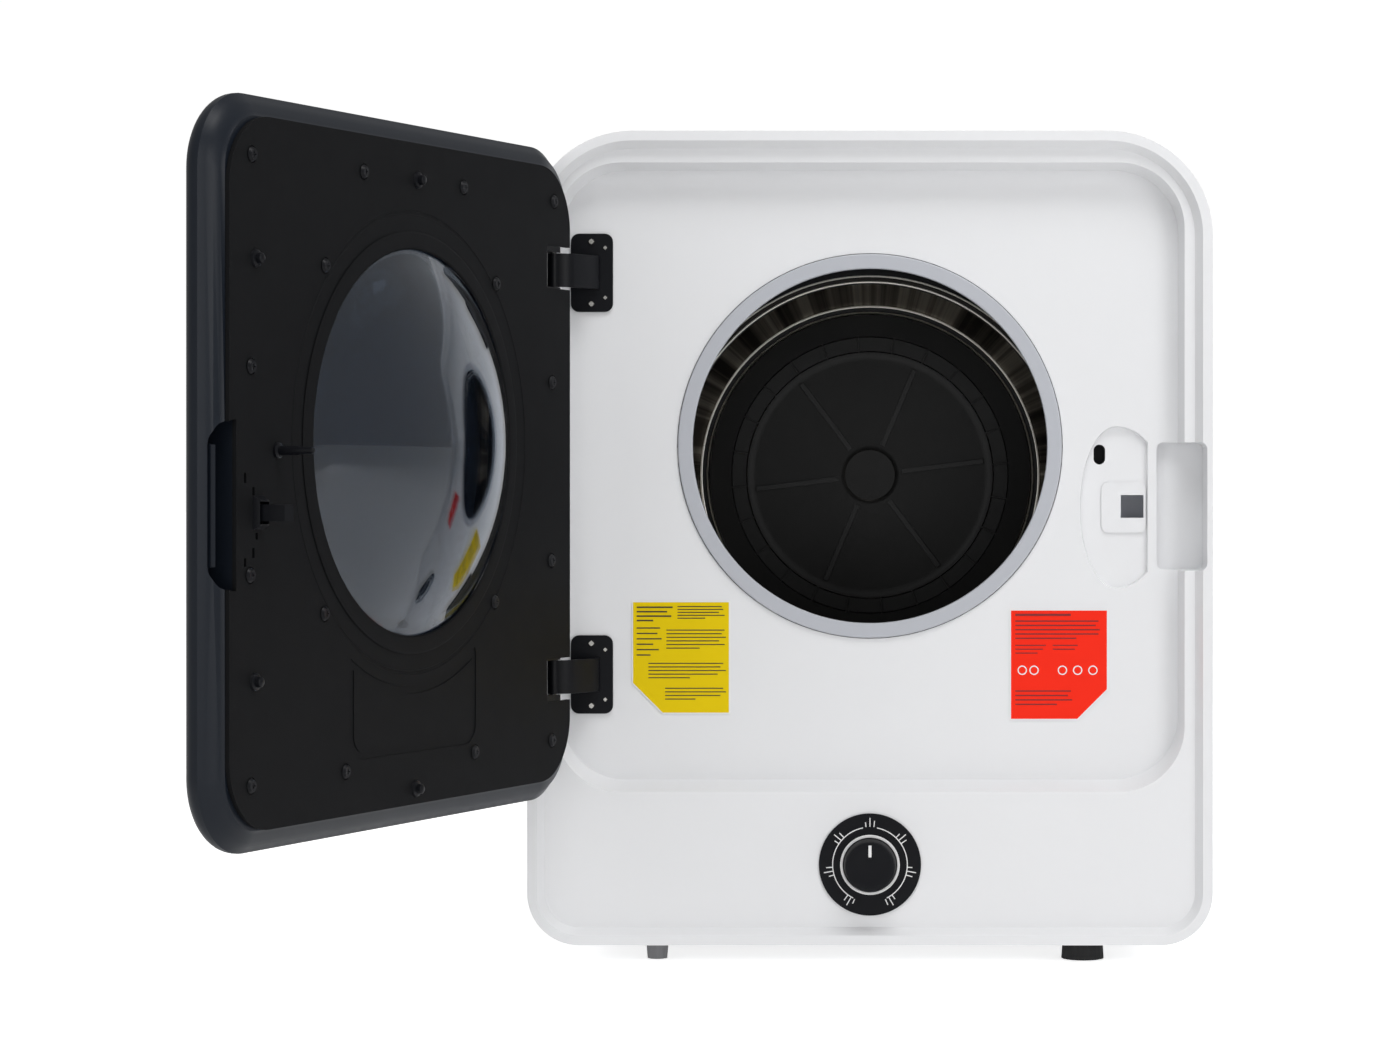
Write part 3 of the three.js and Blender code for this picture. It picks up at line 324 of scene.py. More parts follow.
def pick(obj, kind, test):
    """In edit mode, selects the faces or edges whose middle and direction (mm) pass the test."""
    only(obj)
    bpy.ops.object.mode_set(mode="EDIT")
    bpy.ops.mesh.select_mode(type=kind)
    bpy.ops.mesh.select_all(action="DESELECT")
    mesh = bmesh.from_edit_mesh(obj.data)
    for item in (mesh.faces if kind == "FACE" else mesh.edges):
        if kind == "FACE":
            middle, way = item.calc_center_median() / MM, item.normal
        else:
            ends = [vertex.co / MM for vertex in item.verts]
            middle, way = (ends[0] + ends[1]) / 2, (ends[1] - ends[0]).normalized()
        if test(middle, way):
            item.select_set(True)
    bmesh.update_edit_mesh(obj.data)


def leave():
    """Goes back to object mode."""
    bpy.ops.object.mode_set(mode="OBJECT")


def block(name, x, y, z, radii=(0, 0), segments=12):
    """A slab between two corners, its corners round seen from the front: radii is (top, bottom)."""
    clear()
    low, high = Vector((x[0], y[0], z[0])), Vector((x[1], y[1], z[1]))
    bpy.ops.mesh.primitive_cube_add(size=1, location=(low + high) / 2 * MM, scale=(high - low) * MM)
    obj = active(name)
    place_mesh(obj)
    for radius, level in ((radii[0], z[1]), (radii[1], z[0])):
        if radius:
            pick(obj, "EDGE", lambda mid, way, level=level: abs(way.y) > 0.9 and abs(mid.z - level) < 0.01)
            bpy.ops.mesh.bevel(offset=radius * MM, segments=segments, affect="EDGES")
            leave()
    return obj


def step(obj, y, *insets, facing=-1):
    """Insets the flat face at y again and again: each step is (inward, depth), depth going into the solid."""
    pick(obj, "FACE", lambda mid, way: abs(mid.y - y) < 0.01 and way.y * facing > 0.9)
    for inward, depth in insets:
        bpy.ops.mesh.inset(thickness=max(inward, 0.0001) * MM, depth=-depth * MM)
    leave()


def turned(name, x, z, profile, steps=96, closed=True):
    """A profile of (radius, y) points spun about an axis along Y."""
    clear()
    radius, y = profile[0]
    bpy.ops.mesh.primitive_plane_add(size=MM, location=((x + radius) * MM, y * MM, z * MM))
    obj = active(name)
    place_mesh(obj)
    bpy.ops.object.mode_set(mode="EDIT")
    bpy.ops.mesh.select_mode(type="VERT")
    bpy.ops.mesh.select_all(action="SELECT")
    bpy.ops.mesh.merge(type="CENTER")
    points = [*profile, profile[0]] if closed else profile
    for (r0, y0), (r1, y1) in zip(points, points[1:]):
        bpy.ops.mesh.extrude_vertices_move(TRANSFORM_OT_translate={"value": ((r1 - r0) * MM, (y1 - y0) * MM, 0)})
    bpy.ops.mesh.select_all(action="SELECT")
    bpy.ops.mesh.remove_doubles(threshold=1e-6)
    bpy.ops.mesh.spin(steps=steps, angle=FULL_TURN, center=(x * MM, 0, z * MM), axis=(0, 1, 0))
    bpy.ops.mesh.select_all(action="SELECT")
    bpy.ops.mesh.remove_doubles(threshold=1e-6)
    bpy.ops.mesh.normals_make_consistent(inside=False)
    leave()
    return obj


def rod(name, x, z, radius, y0, y1, sides=48, end=None):
    """A round bar along Y; end is the radius at y1."""
    clear()
    bpy.ops.mesh.primitive_cone_add(vertices=sides, radius1=radius * MM, radius2=(end or radius) * MM,
                                    depth=(y1 - y0) * MM, location=(x * MM, (y0 + y1) / 2 * MM, z * MM),
                                    rotation=(-pi / 2, 0, 0))
    obj = active(name)
    place_mesh(obj)
    return obj


def post(name, x, y, radius, z0, z1, sides=32):
    """An upright round bar."""
    clear()
    bpy.ops.mesh.primitive_cone_add(vertices=sides, radius1=radius * MM, radius2=radius * MM,
                                    depth=(z1 - z0) * MM, location=(x * MM, y * MM, (z0 + z1) / 2 * MM))
    obj = active(name)
    place_mesh(obj)
    return obj


def apply_modifier(obj, kind, **settings):
    """Adds one modifier with its settings and applies it."""
    only(obj)
    modifier = obj.modifiers.new(kind.title(), kind)
    for key, value in settings.items():
        setattr(modifier, key, value)
    bpy.ops.object.modifier_apply(modifier=modifier.name)


def cut(obj, *tools):
    """Takes each tool's shape out of obj and drops the tool."""
    for tool in tools:
        apply_modifier(obj, "BOOLEAN", operation="DIFFERENCE", object=tool, solver="EXACT")
        bpy.data.objects.remove(tool, do_unlink=True)
    return obj


def copied(obj, name, move=(0, 0, 0)):
    """A copy with its own mesh, moved by a distance in mm."""
    only(obj)
    bpy.ops.object.duplicate()
    twin = active(name)
    twin.location = Vector(move) * MM
    place_mesh(twin)
    return twin


def spin_about(obj, z, degrees):
    """Turns a piece about an axis along Y at height z."""
    turn = Matrix.Translation((0, 0, z * MM)) @ Matrix.Rotation(radians(degrees), 4, "Y")
    obj.matrix_world = turn @ Matrix.Translation((0, 0, -z * MM)) @ obj.matrix_world
    place_mesh(obj)
    return obj


def repeated(obj, places):
    """Copies a piece modelled at x = z = 0 to each (x, z), then drops the first."""
    twins = [copied(obj, f"{obj.name}_{index + 1}", (x, 0, z)) for index, (x, z) in enumerate(places)]
    bpy.data.objects.remove(obj, do_unlink=True)
    return twins


def ring_of(obj, z, angles):
    """Copies a piece round an axis along Y at height z, then drops the first."""
    twins = [spin_about(copied(obj, f"{obj.name}_{index + 1}"), z, angle) for index, angle in enumerate(angles)]
    bpy.data.objects.remove(obj, do_unlink=True)
    return twins


def gather(name, *objs):
    """Joins separate bodies into one object."""
    clear()
    for obj in objs:
        obj.select_set(True)
    bpy.context.view_layer.objects.active = objs[0]
    bpy.ops.object.join()
    return active(name)


def soften(obj, width=0.8, segments=3, angle=32):
    """Rounds every sharp edge, then shades smoothly across what is left."""
    apply_modifier(obj, "BEVEL", width=width * MM, segments=segments, limit_method="ANGLE",
                   angle_limit=radians(angle), miter_outer="MITER_ARC")
    smooth(obj)


def smooth(obj, angle=38):
    """Shades smoothly below the angle, with large faces kept flat."""
    only(obj)
    bpy.ops.object.shade_smooth_by_angle(angle=radians(angle))
    apply_modifier(obj, "WEIGHTED_NORMAL", keep_sharp=True, weight=100)


SWING = (Matrix.Translation(Vector((HINGE_X, HINGE_Y, 0)) * MM) @ Matrix.Rotation(-OPEN_ANGLE, 4, "Z")
         @ Matrix.Translation(Vector((-HINGE_X, -HINGE_Y, 0)) * MM))


def settle(obj, material, body, slot_name, *nodes, swing=False):
    """Gives a finished piece its material and body and hides the nodes it stands for; slot_name is not used."""
    if swing:
        obj.matrix_world = SWING @ obj.matrix_world
        place_mesh(obj)
    obj.data.materials.clear()
    obj.data.materials.append(material)
    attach(obj, body)
    if nodes:
        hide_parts(*nodes)
    return obj


# ------------------------------------------------------------------ camera and light
def look():
    """A camera straight in front, its picture shifted towards the open door."""
    data = bpy.data.cameras.new("front_camera")
    data.lens = 88.2
    data.sensor_width = 36
    data.shift_x = -0.1214
    data.shift_y = -0.0357
    data.clip_end = 60
    camera = bpy.data.objects.new("front_camera", data)
    camera.location = (0, -2.65, 0.352)
    camera.rotation_euler = (pi / 2, 0, 0)
    bpy.context.scene.collection.objects.link(camera)
    bpy.context.scene.camera = camera


def softbox(name, place, aim, size, power):
    """A rectangular light that faces the aim point."""
    data = bpy.data.lights.new(name, "AREA")
    data.shape = "RECTANGLE"
    data.size, data.size_y = size
    data.energy = power
    light = bpy.data.objects.new(name, data)
    light.location = place
    light.rotation_euler = (Vector(aim) - Vector(place)).to_track_quat("-Z", "Y").to_euler()
    bpy.context.scene.collection.objects.link(light)


def studio():
    """A pale floor, a white room that lights less than it shows, and soft boxes."""
    clear()
    bpy.ops.mesh.primitive_plane_add(size=60, location=(0, 0, -0.0005))
    floor = active("studio_floor")
    pale = bpy.data.materials.new("studio_white")
    pale.use_nodes = True
    shader = pale.node_tree.nodes["Principled BSDF"]
    shader.inputs["Base Color"].default_value = (0.9, 0.9, 0.9, 1)
    shader.inputs["Roughness"].default_value = 0.95
    shader.inputs["Specular IOR Level"].default_value = 0.1
    shader.inputs["Emission Color"].default_value = (1, 1, 1, 1)
    link(pale.node_tree, seen_and_lit(pale.node_tree, FLOOR_SEEN, FLOOR_LIGHT), shader.inputs["Emission Strength"])
    floor.data.materials.append(pale)
    world = bpy.data.worlds.new("studio_room")
    world.use_nodes = True
    tree = world.node_tree
    link(tree, seen_and_lit(tree, ROOM_SEEN, ROOM_LIGHT), tree.nodes["Background"].inputs["Strength"])
    tree.nodes["Background"].inputs["Color"].default_value = (1.0, 1.0, 1.0, 1)
    bpy.context.scene.world = world
    softbox("left_softbox", (-1.5, -2.6, 0.9), (0, 0, 0.3), (1.2, 1.2), 7)
    softbox("right_softbox", (1.7, -2.3, 0.9), (0, 0, 0.35), (1.0, 1.4), 13)
    softbox("top_softbox", (0.3, -1.2, 2.3), (0, -0.1, 0.3), (1.5, 0.8), 24)
    softbox("rear_softbox", (0.6, 2.6, 0.7), (0, 0, 0.3), (1.6, 1.2), 5)


bpy.context.scene.view_settings.view_transform = "Standard"
look()
studio()


# ------------------------------------------------------------------ cabinet
def cabinet_slab(name, inset, y0, y1):
    """The cabinet's outline between two depths, drawn in by an inset."""
    radii = [radius - inset for radius in CABINET_RADII]
    return block(name, (-CABINET_HALF + inset, CABINET_HALF - inset), (y0, y1),
                 (CABINET_LOW + inset, CABINET_HIGH - inset), radii, 18)


def well_cutter():
    """The loading well: round corners, walls that lean in towards its floor."""
    well = block("well", (-WELL_HALF, WELL_HALF), (LEDGE_Y, WELL_Y), (WELL_LOW, WELL_HIGH),
                 (WELL_RADIUS, WELL_RADIUS), 18)
    pick(well, "FACE", lambda mid, way: way.y > 0.9)
    bpy.ops.transform.resize(value=(WELL_FLOOR_HALF / WELL_HALF, 1, WELL_FLOOR_HEIGHT / (WELL_HIGH - WELL_LOW)))
    bpy.ops.transform.translate(value=(0, 0, WELL_FLOOR_RISE * MM))
    leave()
    pick(well, "FACE", lambda mid, way: way.y < -0.9)
    bpy.ops.mesh.extrude_region_move(TRANSFORM_OT_translate={"value": (0, -20 * MM, 0)})
    leave()
    return well


def latch_recess_cutter():
    """The shallow ear-shaped recess round the latch and the switch."""
    middle = Vector((EAR_X, -175, EAR_Z)) * MM
    clear()
    bpy.ops.mesh.primitive_cylinder_add(vertices=48, radius=1, depth=1, location=middle, rotation=(pi / 2, 0, 0),
                                        scale=(0.028, 0.0605, 0.014))
    ear = active("ear")
    place_mesh(ear)
    pick(ear, "FACE", lambda mid, way: mid.x > EAR_X + 1 and way.x > 0.01)
    bpy.ops.transform.resize(value=(40 / 28, 1, 1), center_override=(middle.x, 0, 0))
    bpy.ops.mesh.select_all(action="SELECT")
    bpy.ops.mesh.bisect(plane_co=(EAR_CUT_X * MM, 0, 0), plane_no=(1, 0, 0), use_fill=True, clear_outer=True)
    leave()
    pick(ear, "FACE", lambda mid, way: way.y > 0.9)
    bpy.ops.transform.resize(value=(0.92, 1, 0.96), center_override=(middle.x, 0, middle.z))
    leave()
    return ear


def front_moulding():
    """The front: stepped edge, loading well, mouth, finger notch, and hollow behind."""
    front = cabinet_slab("cabinet_front", 0, FRONT_Y, SEAM_Y)
    step(front, FRONT_Y, (7, 0), (5, 8))
    cut(front, well_cutter())
    notch = block("notch", (207, 241), (-215, -163), (283.5, 375.5), (5, 5), 4)
    cut(front, notch, latch_recess_cutter())
    cut(front, rod("mouth", 0, MOUTH_Z, 139.2, -210, -150, 128))
    soften(front, 2.2, 4, 30)
    hollow = cabinet_slab("hollow", 3, -169, -140)
    cheek = block("cheek", (204, 244), (-175, -140), (280.5, 378.5), (5, 5), 4)
    cut(hollow, cheek, block("pad_back", (146, 206), (-175, -165), (264, 393)))
    cut(front, hollow, block("control_hollow", (-215, 215), (-189, -140), (30, 118), (6, 20), 6))
    slot_hole = block("slot_hole", (SWITCH_X - 4.2, SWITCH_X + 4.2), (-190, -140),
                      (SWITCH_Z - 7.2, SWITCH_Z + 7.2), (4.1, 4.1), 8)
    latch_hole = block("latch_hole", (LATCH_X - 9.5, LATCH_X + 9.5), (-190, -140),
                       (LATCH_Z - 9.5, LATCH_Z + 9.5))
    cut(front, slot_hole, latch_hole, rod("spindle_hole", 0, DIAL_Z, 7, -210, -150, 32))
    smooth(front, 30)
    settle(front, WHITE_MOULDING, "cabinet", "white_plastic", "front_panel")


def cabinet_skin():
    """The wrap: one bent sheet from the seam to the rear, open underneath for the base pan."""
    wrap = cabinet_slab("cabinet_skin", 0, SEAM_Y + 0.3, REAR_Y)
    cut(wrap, cabinet_slab("inside", 1, SEAM_Y - 5, REAR_Y + 5))
    cut(wrap, block("floor_gap", (-200, 200), (SEAM_Y - 5, REAR_Y + 5), (0, CABINET_LOW + 3)))
    smooth(wrap, 30)
    settle(wrap, WHITE_ENAMEL, "cabinet", "white_metal", "cabinet_wrap")


def opening_ring():
    """The flat trim ring round the mouth."""
    ring = turned("opening_trim_ring", 0, MOUTH_Z, [
        (128, -174.2), (138.7, -174.2), (138.7, -168.6), (128, -168.6)], DRUM_STEPS)
    soften(ring, 1.0, 4)
    settle(ring, RING_GREY, "cabinet", "light_grey", "opening_ring")


front_moulding()
cabinet_skin()
opening_ring()


# ------------------------------------------------------------------ drum
def reflection_streaked_band():
    """Polished sheet with painted reflections: soft brown and grey streaks, painted into its colour, that run from
    front to back.
    """
    made = finish("polished_band", (0.33, 0.31, 0.285), 0.34, metallic=0.8, lines=0.2, tone=0.25, dust=0.0)
    tree = made.node_tree
    shader = tree.nodes["Principled BSDF"]
    centre = tree.nodes.new("ShaderNodeMapping")
    centre.inputs["Location"].default_value = (0, 0, -DRUM_Z * MM)
    centre.inputs["Scale"].default_value = (1, 0, 1)
    link(tree, tree.nodes.new("ShaderNodeTexCoord").outputs["Object"], centre.inputs["Vector"])
    outward = tree.nodes.new("ShaderNodeVectorMath")
    outward.operation = "NORMALIZE"
    link(tree, centre.outputs[0], outward.inputs[0])
    # painted reflections: colour streaks that change with the angle round the drum's axis stand in for what the
    # polished band reflects
    painted_reflection_streaks = noise(tree, outward.outputs[0], 5.5, 5.0, 0.6)
    ramp = tree.nodes.new("ShaderNodeValToRGB")
    for position, colour in ((0.40, (0.05, 0.045, 0.04, 1)), (0.48, (0.2, 0.18, 0.155, 1)),
                             (0.53, (0.42, 0.39, 0.34, 1)), (0.60, (0.16, 0.145, 0.125, 1))):
        ramp.color_ramp.elements.new(position).color = colour
    ramp.color_ramp.elements[0].color = (0.01, 0.009, 0.008, 1)
    ramp.color_ramp.elements[-1].color = (0.05, 0.045, 0.04, 1)
    link(tree, painted_reflection_streaks, ramp.inputs[0])
    link(tree, ramp.outputs["Color"], shader.inputs["Base Color"])
    return made


def drum():
    """The drum's neck, wall, back band and disc, with the bright beads that edge them."""
    neck = turned("drum_neck", 0, DRUM_Z, [
        (139.8, -159), (141, -159), (141, -151), (143, -149), (143, -146), (141, -143.6), (206, -143.6),
        (206, -142.3), (139.8, -142.3), (139.2, -147), (139.8, -150)], DRUM_STEPS)
    soften(neck, 0.5, 3)
    # painted shade: the steel neck gets this dark colour to stand for the shaded gap between its bright beads
    settle(neck, DARK_IRON_AND_GAP_SHADE, "drum", "steel", "drum_front_ring")
    rim = turned("drum_neck_rolled_edge", 0, DRUM_Z, [
        (139.4, -159.4), (140.2, -160), (141, -159.4), (141, -158.8), (139.4, -158.8)], DRUM_STEPS)
    smooth(rim, 60)
    settle(rim, BEAD_STEEL, "drum", "steel")
    shell = turned("drum_wall", 0, DRUM_Z, [(206.8, -142), (208, -142), (208, 116), (206.8, 116)], DRUM_STEPS)
    smooth(shell)
    settle(shell, DRUM_STEEL, "drum", "steel", "drum_shell")
    band = turned("drum_back_band", 0, DRUM_Z, [
        (137, 124.8), (164, 96), (206, 96), (206, 97.2), (164.6, 97.2), (138, 126)], DRUM_STEPS)
    smooth(band)
    settle(band, reflection_streaked_band(), "drum", "steel", "drum_rear_wall")
    disc = turned("drum_back_disc", 0, DRUM_Z, [(8.6, 125), (137.4, 125), (137.4, 126.2), (8.6, 126.2)], DRUM_STEPS)
    smooth(disc)
    settle(disc, FILTER_BLACK, "drum", "steel")
    beads = [turned("bead", 0, DRUM_Z, [(r0, y0), ((r0 + r1) / 2, y0 - 0.5), (r1, y0), (r1, y1), (r0, y1)], DRUM_STEPS)
             for r0, r1, y0, y1 in ((130.4, 132, 122.6, 125.2), (135.4, 137.2, 123.4, 125.2))]
    beads = gather("drum_back_beads", *beads)
    smooth(beads, 60)
    settle(beads, BEAD_STEEL, "drum", "steel")
    lip = turned("bulkhead_lip_bead", 0, DRUM_Z, [
        (143.4, -165.4), (144, -166), (144.7, -165.4), (144.7, -164.8), (143.4, -164.8)], DRUM_STEPS)
    smooth(lip, 60)
    settle(lip, BEAD_STEEL, "cabinet", "steel")


def filter_disc():
    """The lint filter's cover: a shallow disc with a ring of panes, spokes and a hub."""
    disc = turned("lint_filter_cover", 0, DRUM_Z, [
        (0, 113), (20, 113), (24, 115), (92, 118), (96, 117), (99, 117), (100, 120), (111, 120), (112, 118),
        (129, 119.5), (130, 121), (130, 124.7), (0, 124.7)], 96, closed=False)
    smooth(disc, 25)
    settle(disc, FILTER_BLACK, "drum", "black_plastic", "filter_cover")
    rib = block("rib", (99, 112.5), (117, 120.2), (DRUM_Z - 0.6, DRUM_Z + 0.6))
    spoke = block("spoke", (26, 92), (114.6, 118.5), (DRUM_Z - 2, DRUM_Z + 2))
    ribs = gather("lint_filter_ribs", *ring_of(rib, DRUM_Z, [-15 * index - 5 for index in range(24)]),
                  *ring_of(spoke, DRUM_Z, [-60 * index - 7 for index in range(6)]))
    soften(ribs, 0.3, 2)
    settle(ribs, RIB_BLACK, "drum", "black_plastic")


def drum_lifters():
    """Three tapered bars along the wall."""
    bar = block("drum_lifter", (-24, 24), (-137, 87), (DRUM_Z + 158, DRUM_Z + 200.5))
    pick(bar, "FACE", lambda mid, way: way.z < -0.9)
    bpy.ops.transform.resize(value=(0.36, 0.98, 1))
    leave()
    soften(bar, 5, 5)
    for index, lifter in enumerate(ring_of(bar, DRUM_Z, (0, -120, -240))):
        settle(lifter, DRUM_STEEL, "drum", "steel", f"lifter_{index + 1}")


drum()
filter_disc()
drum_lifters()


# ------------------------------------------------------------------ controls
def dial():
    """The printed disc with its tick marks, the bezel, and the knob with its pointer."""
    plate = rod("dial_disc", 0, DIAL_Z, 36.6, -193.5, -192.3, DIAL_STEPS)
    soften(plate, 0.3, 2)
    settle(plate, HINGE_BLACK, "cabinet", "black_plastic", "dial_plate")
    print_front, print_back = DIAL_PRINT_Y
    arc = turned("arc", 0, DIAL_Z, [(26.4, print_front), (27.1, print_front), (27.1, print_back),
                                    (26.4, print_back)], DIAL_STEPS)
    cut(arc, block("gap", (-12, 12), (-196, -190), (DIAL_Z - 40, DIAL_Z - 20)),
        block("gap_top", (-5, 5), (-196, -190), (DIAL_Z + 20, DIAL_Z + 40)))
    marks = [arc]
    for offset, reach in ((-6, 30.5), (0, 33.5), (6, 31.5)):
        tick = block("tick", (27.1, reach), DIAL_PRINT_Y, (DIAL_Z - 0.35, DIAL_Z + 0.35))
        marks += ring_of(tick, DIAL_Z, [middle + offset - 90 for middle in range(-150, 151, 50)])
    scale_marks = gather("dial_marks", *marks)
    settle(scale_marks, PRINT_WHITE, "cabinet", "white_plastic")
    ring = turned("knob_bezel", 0, DIAL_Z, [
        (19.4, -196.5), (21.4, -196.5), (21.4, print_front), (19.4, print_front)], DIAL_STEPS)
    soften(ring, 0.5, 3)
    settle(ring, PRINT_WHITE, "cabinet", "white_plastic", "knob_ring")
    knob = turned("timer_knob_cap", 0, DIAL_Z, [
        (0, -210.4), (13, -210.6), (15.5, -211), (17.2, -210.4), (18, -208.8), (18.9, -195), (5, -195),
        (5, -183), (0, -183)], DIAL_STEPS, closed=False)
    grip = block("grip", (-1.6, 1.6), (-211, -209.8), (DIAL_Z + 6, DIAL_Z + 16))
    cut(knob, grip)
    smooth(knob, 35)
    settle(knob, HINGE_BLACK, "knob", "black_plastic", "timer_knob")
    pointer = block("knob_pointer", (-1.1, 1.1), (-210.5, -209.8), (DIAL_Z + 7, DIAL_Z + 15.4))
    soften(pointer, 0.2, 2)
    settle(pointer, PRINT_WHITE, "knob", "white_plastic")


dial()


# ------------------------------------------------------------------ notices: plain ruled film, no lettering
def notice_sheet(name, x, z, y, thick, chamfer, side):
    """A film sheet with its lower outer corner cut off; side is -1 for left, 1 for right."""
    sheet = block(name, x, (y - thick, y), z)
    corner = x[0] if side < 0 else x[1]
    pick(sheet, "EDGE",
         lambda mid, way: abs(way.y) > 0.9 and abs(mid.x - corner) < 0.1 and abs(mid.z - z[0]) < 0.1)
    bpy.ops.mesh.bevel(offset=chamfer * MM, segments=1, affect="EDGES")
    leave()
    return sheet


def notice(name, x, z, side, rules, film, ink, slot_name, node):
    """A notice: white-bordered film with plain ruled bars (x0, x1, z, height) and no lettering."""
    border = notice_sheet(name + "_border", x, z, WELL_Y - 0.3, 0.25, 22, side)
    settle(border, PRINT_WHITE, "cabinet", slot_name, node)
    inner = [(x[0] + 0.9, x[1] - 0.9), (z[0] + 0.9, z[1] - 0.9)]
    settle(notice_sheet(name, *inner, WELL_Y - 0.5, 0.15, 21.4, side), film, "cabinet", slot_name)
    bars = [block("rule", (x0, x1), (WELL_Y - 0.8, WELL_Y - 0.6), (mid - height / 2, mid + height / 2))
            for x0, x1, mid, height in rules]
    settle(gather(name + "_rules", *bars), ink, "cabinet", slot_name)


def ruled(x0, widths, top, pitch, height):
    """A ragged column of bars that stands in for print."""
    return [(x0, x0 + width, top - pitch * index, height) for index, width in enumerate(widths)]


LEFT_RULES = (ruled(-168.5, (26, 22, 25, 12), 256.5, 3.2, 1.1) + ruled(-139, (32, 33, 30, 34, 20), 257, 2.1, 0.7)
              + ruled(-168.5, (17, 15, 18, 12, 16, 10), 241.5, 3.9, 0.9)
              + ruled(-147, (42, 40, 43, 38, 42, 24), 240, 2.6, 0.7)
              + ruled(-160, (54, 52, 56, 50, 30), 216, 2.6, 0.7) + ruled(-148, (42, 44, 40, 22), 198, 2.6, 0.7))
RIGHT_RULES = (ruled(105, (40,), 251, 1, 1.6) + ruled(105, (60, 58, 61, 60, 44), 246.5, 3.1, 0.9)
               + ruled(105, (22, 20, 16), 229, 2.8, 0.7) + ruled(132, (18, 16), 229, 2.8, 0.7)
               + ruled(105, (40, 38, 41, 30), 196, 3.2, 0.9))
notice("left_notice_film", (-172, -101), (179.5, 261), -1, LEFT_RULES, NOTICE_YELLOW, PRINT_DARK, "yellow",
       "notice_label_left")
notice("right_notice_film", (101, 172), (175, 255), 1, RIGHT_RULES, NOTICE_RED, PRINT_MAROON, "red",
       "notice_label_right")
notice_dot = turned("dot", 0, 0, [
    (2.6, WELL_Y - 0.85), (3.4, WELL_Y - 0.85), (3.4, WELL_Y - 0.6), (2.6, WELL_Y - 0.6)], 24)
notice_dots = repeated(notice_dot, [(x, 211) for x in (110, 118.5, 139, 150, 161)])
settle(gather("right_notice_marks", *notice_dots), PRINT_WHITE, "cabinet", "red")


# ------------------------------------------------------------------ hinges on the cabinet
def screw_heads(places, y, radius, facing=-1):
    """Pan heads with a cross recess at (x, z) places, their flat sides at y."""
    top = y + facing * SCREW_RISE
    wide, narrow = radius, radius * SCREW_TAPER
    front, rear = (narrow, wide) if facing < 0 else (wide, narrow)
    head = rod("screw", 0, 0, front, *sorted((y, top)), 20, rear)
    recess_front, recess_rear = sorted((top, top - facing * SCREW_RECESS))
    for dx, dz in ((0.35, 1.9), (1.9, 0.35)):
        cut(head, block("slot_cut", (-dx, dx), (recess_front - 0.01, recess_rear + 0.01), (-dz, dz)))
    return repeated(head, places)


def hinge_leaf(place, z):
    """A screwed plate with a pressed gooseneck arm that carries the pin."""
    plate = block("hinge_leaf_" + place, (-216, -185.5), (LEAF_Y, LEAF_BACK_Y), (z - 28.3, z + 28.3), (6, 6), 6)
    soften(plate, 0.5, 2)
    path = [(-197, -176), (-197.5, -178), (-204, -188), (-213, -200.5), (-218, -204.5), (-224, -206)]
    arm = block("arm", (-199, -195), (-176, -173), (z - 12, z + 12))
    pick(arm, "FACE", lambda mid, way: way.y < -0.9)
    for (x0, y0), (x1, y1) in zip(path, path[1:]):
        bpy.ops.mesh.extrude_region_move(TRANSFORM_OT_translate={"value": ((x1 - x0) * MM, (y1 - y0) * MM, 0)})
    leave()
    soften(arm, 0.6, 3, 50)
    knuckle = post("knuckle", HINGE_X, HINGE_Y, 4, z - 12, z + 12)
    leaf = gather("hinge_leaf_" + place, plate, arm, knuckle)
    smooth(leaf)
    settle(leaf, HINGE_BLACK, "cabinet", "black_plastic", "hinge_plate_" + place)
    screws = gather("hinge_leaf_screws_" + place,
                    *screw_heads([(-201, z - 22.5), (-201, z + 22.5)], LEAF_Y, 2.3),
                    *screw_heads([(-191, z - 18), (-191, z + 18)], LEAF_Y, 1.6))
    smooth(screws)
    settle(screws, BRIGHT_STEEL, "cabinet", "steel")


for hinge_place, hinge_z in zip(("lower", "upper"), HINGE_ZS):
    hinge_leaf(hinge_place, hinge_z)


# ------------------------------------------------------------------ door, modelled shut and then swung open
def door_slab(name, inset, y0, y1, radius=48):
    """The door's outline between two depths, drawn in by an inset."""
    return block(name, (-DOOR_HALF + inset, DOOR_HALF - inset), (y0, y1),
                 (DOOR_LOW + inset, DOOR_HIGH - inset), (radius, radius), 18)


def scoop_cutter(x0, y0):
    """The grip scoop: straight towards the window, round at its outer corners."""
    scoop = block("scoop", (x0, 227), (y0, -160), SCOOP_Z)
    pick(scoop, "EDGE", lambda mid, way: abs(way.y) > 0.9 and mid.x > 226)
    bpy.ops.mesh.bevel(offset=15 * MM, segments=8, affect="EDGES")
    leave()
    return scoop


def door_shell():
    """The outer casing: a rounded tray with seats for the pane, the bowl, the hinges and the grip."""
    shell = door_slab("door_outer_casing", 0, DOOR_EDGE_Y - 2, DOOR_EDGE_Y)
    arc = [(14.5 * (1 - cos(pi / 2 * i / 9)), 12 * sin(pi / 2 * i / 9)) for i in range(10)]
    step(shell, DOOR_EDGE_Y - 2, *[(b[0] - a[0], a[1] - b[1]) for a, b in zip(arc, arc[1:])])
    step(shell, DOOR_EDGE_Y, (3.5, -3), (3.5, -3.5), (4.5, -1.5), (2.5, -2), facing=1)
    cut(shell, rod("pane_seat", 0, MOUTH_Z, 150, -230, DOOR_FACE_Y + 3.7, WINDOW_STEPS),
        rod("bowl_hole", 0, MOUTH_Z, 130, -230, -170, WINDOW_STEPS))
    for z in HINGE_ZS:
        cut(shell, block("pocket", (-240, -183), (HINGE_Y - 6.2, -170), (z - 24.5, z + 24.5)))
    cut(shell, scoop_cutter(209.2, -206))
    soften(shell, 0.8, 3, 40)
    settle(shell, SHELL_BLUE, "door", "door_blue", "door_outer_shell", swing=True)


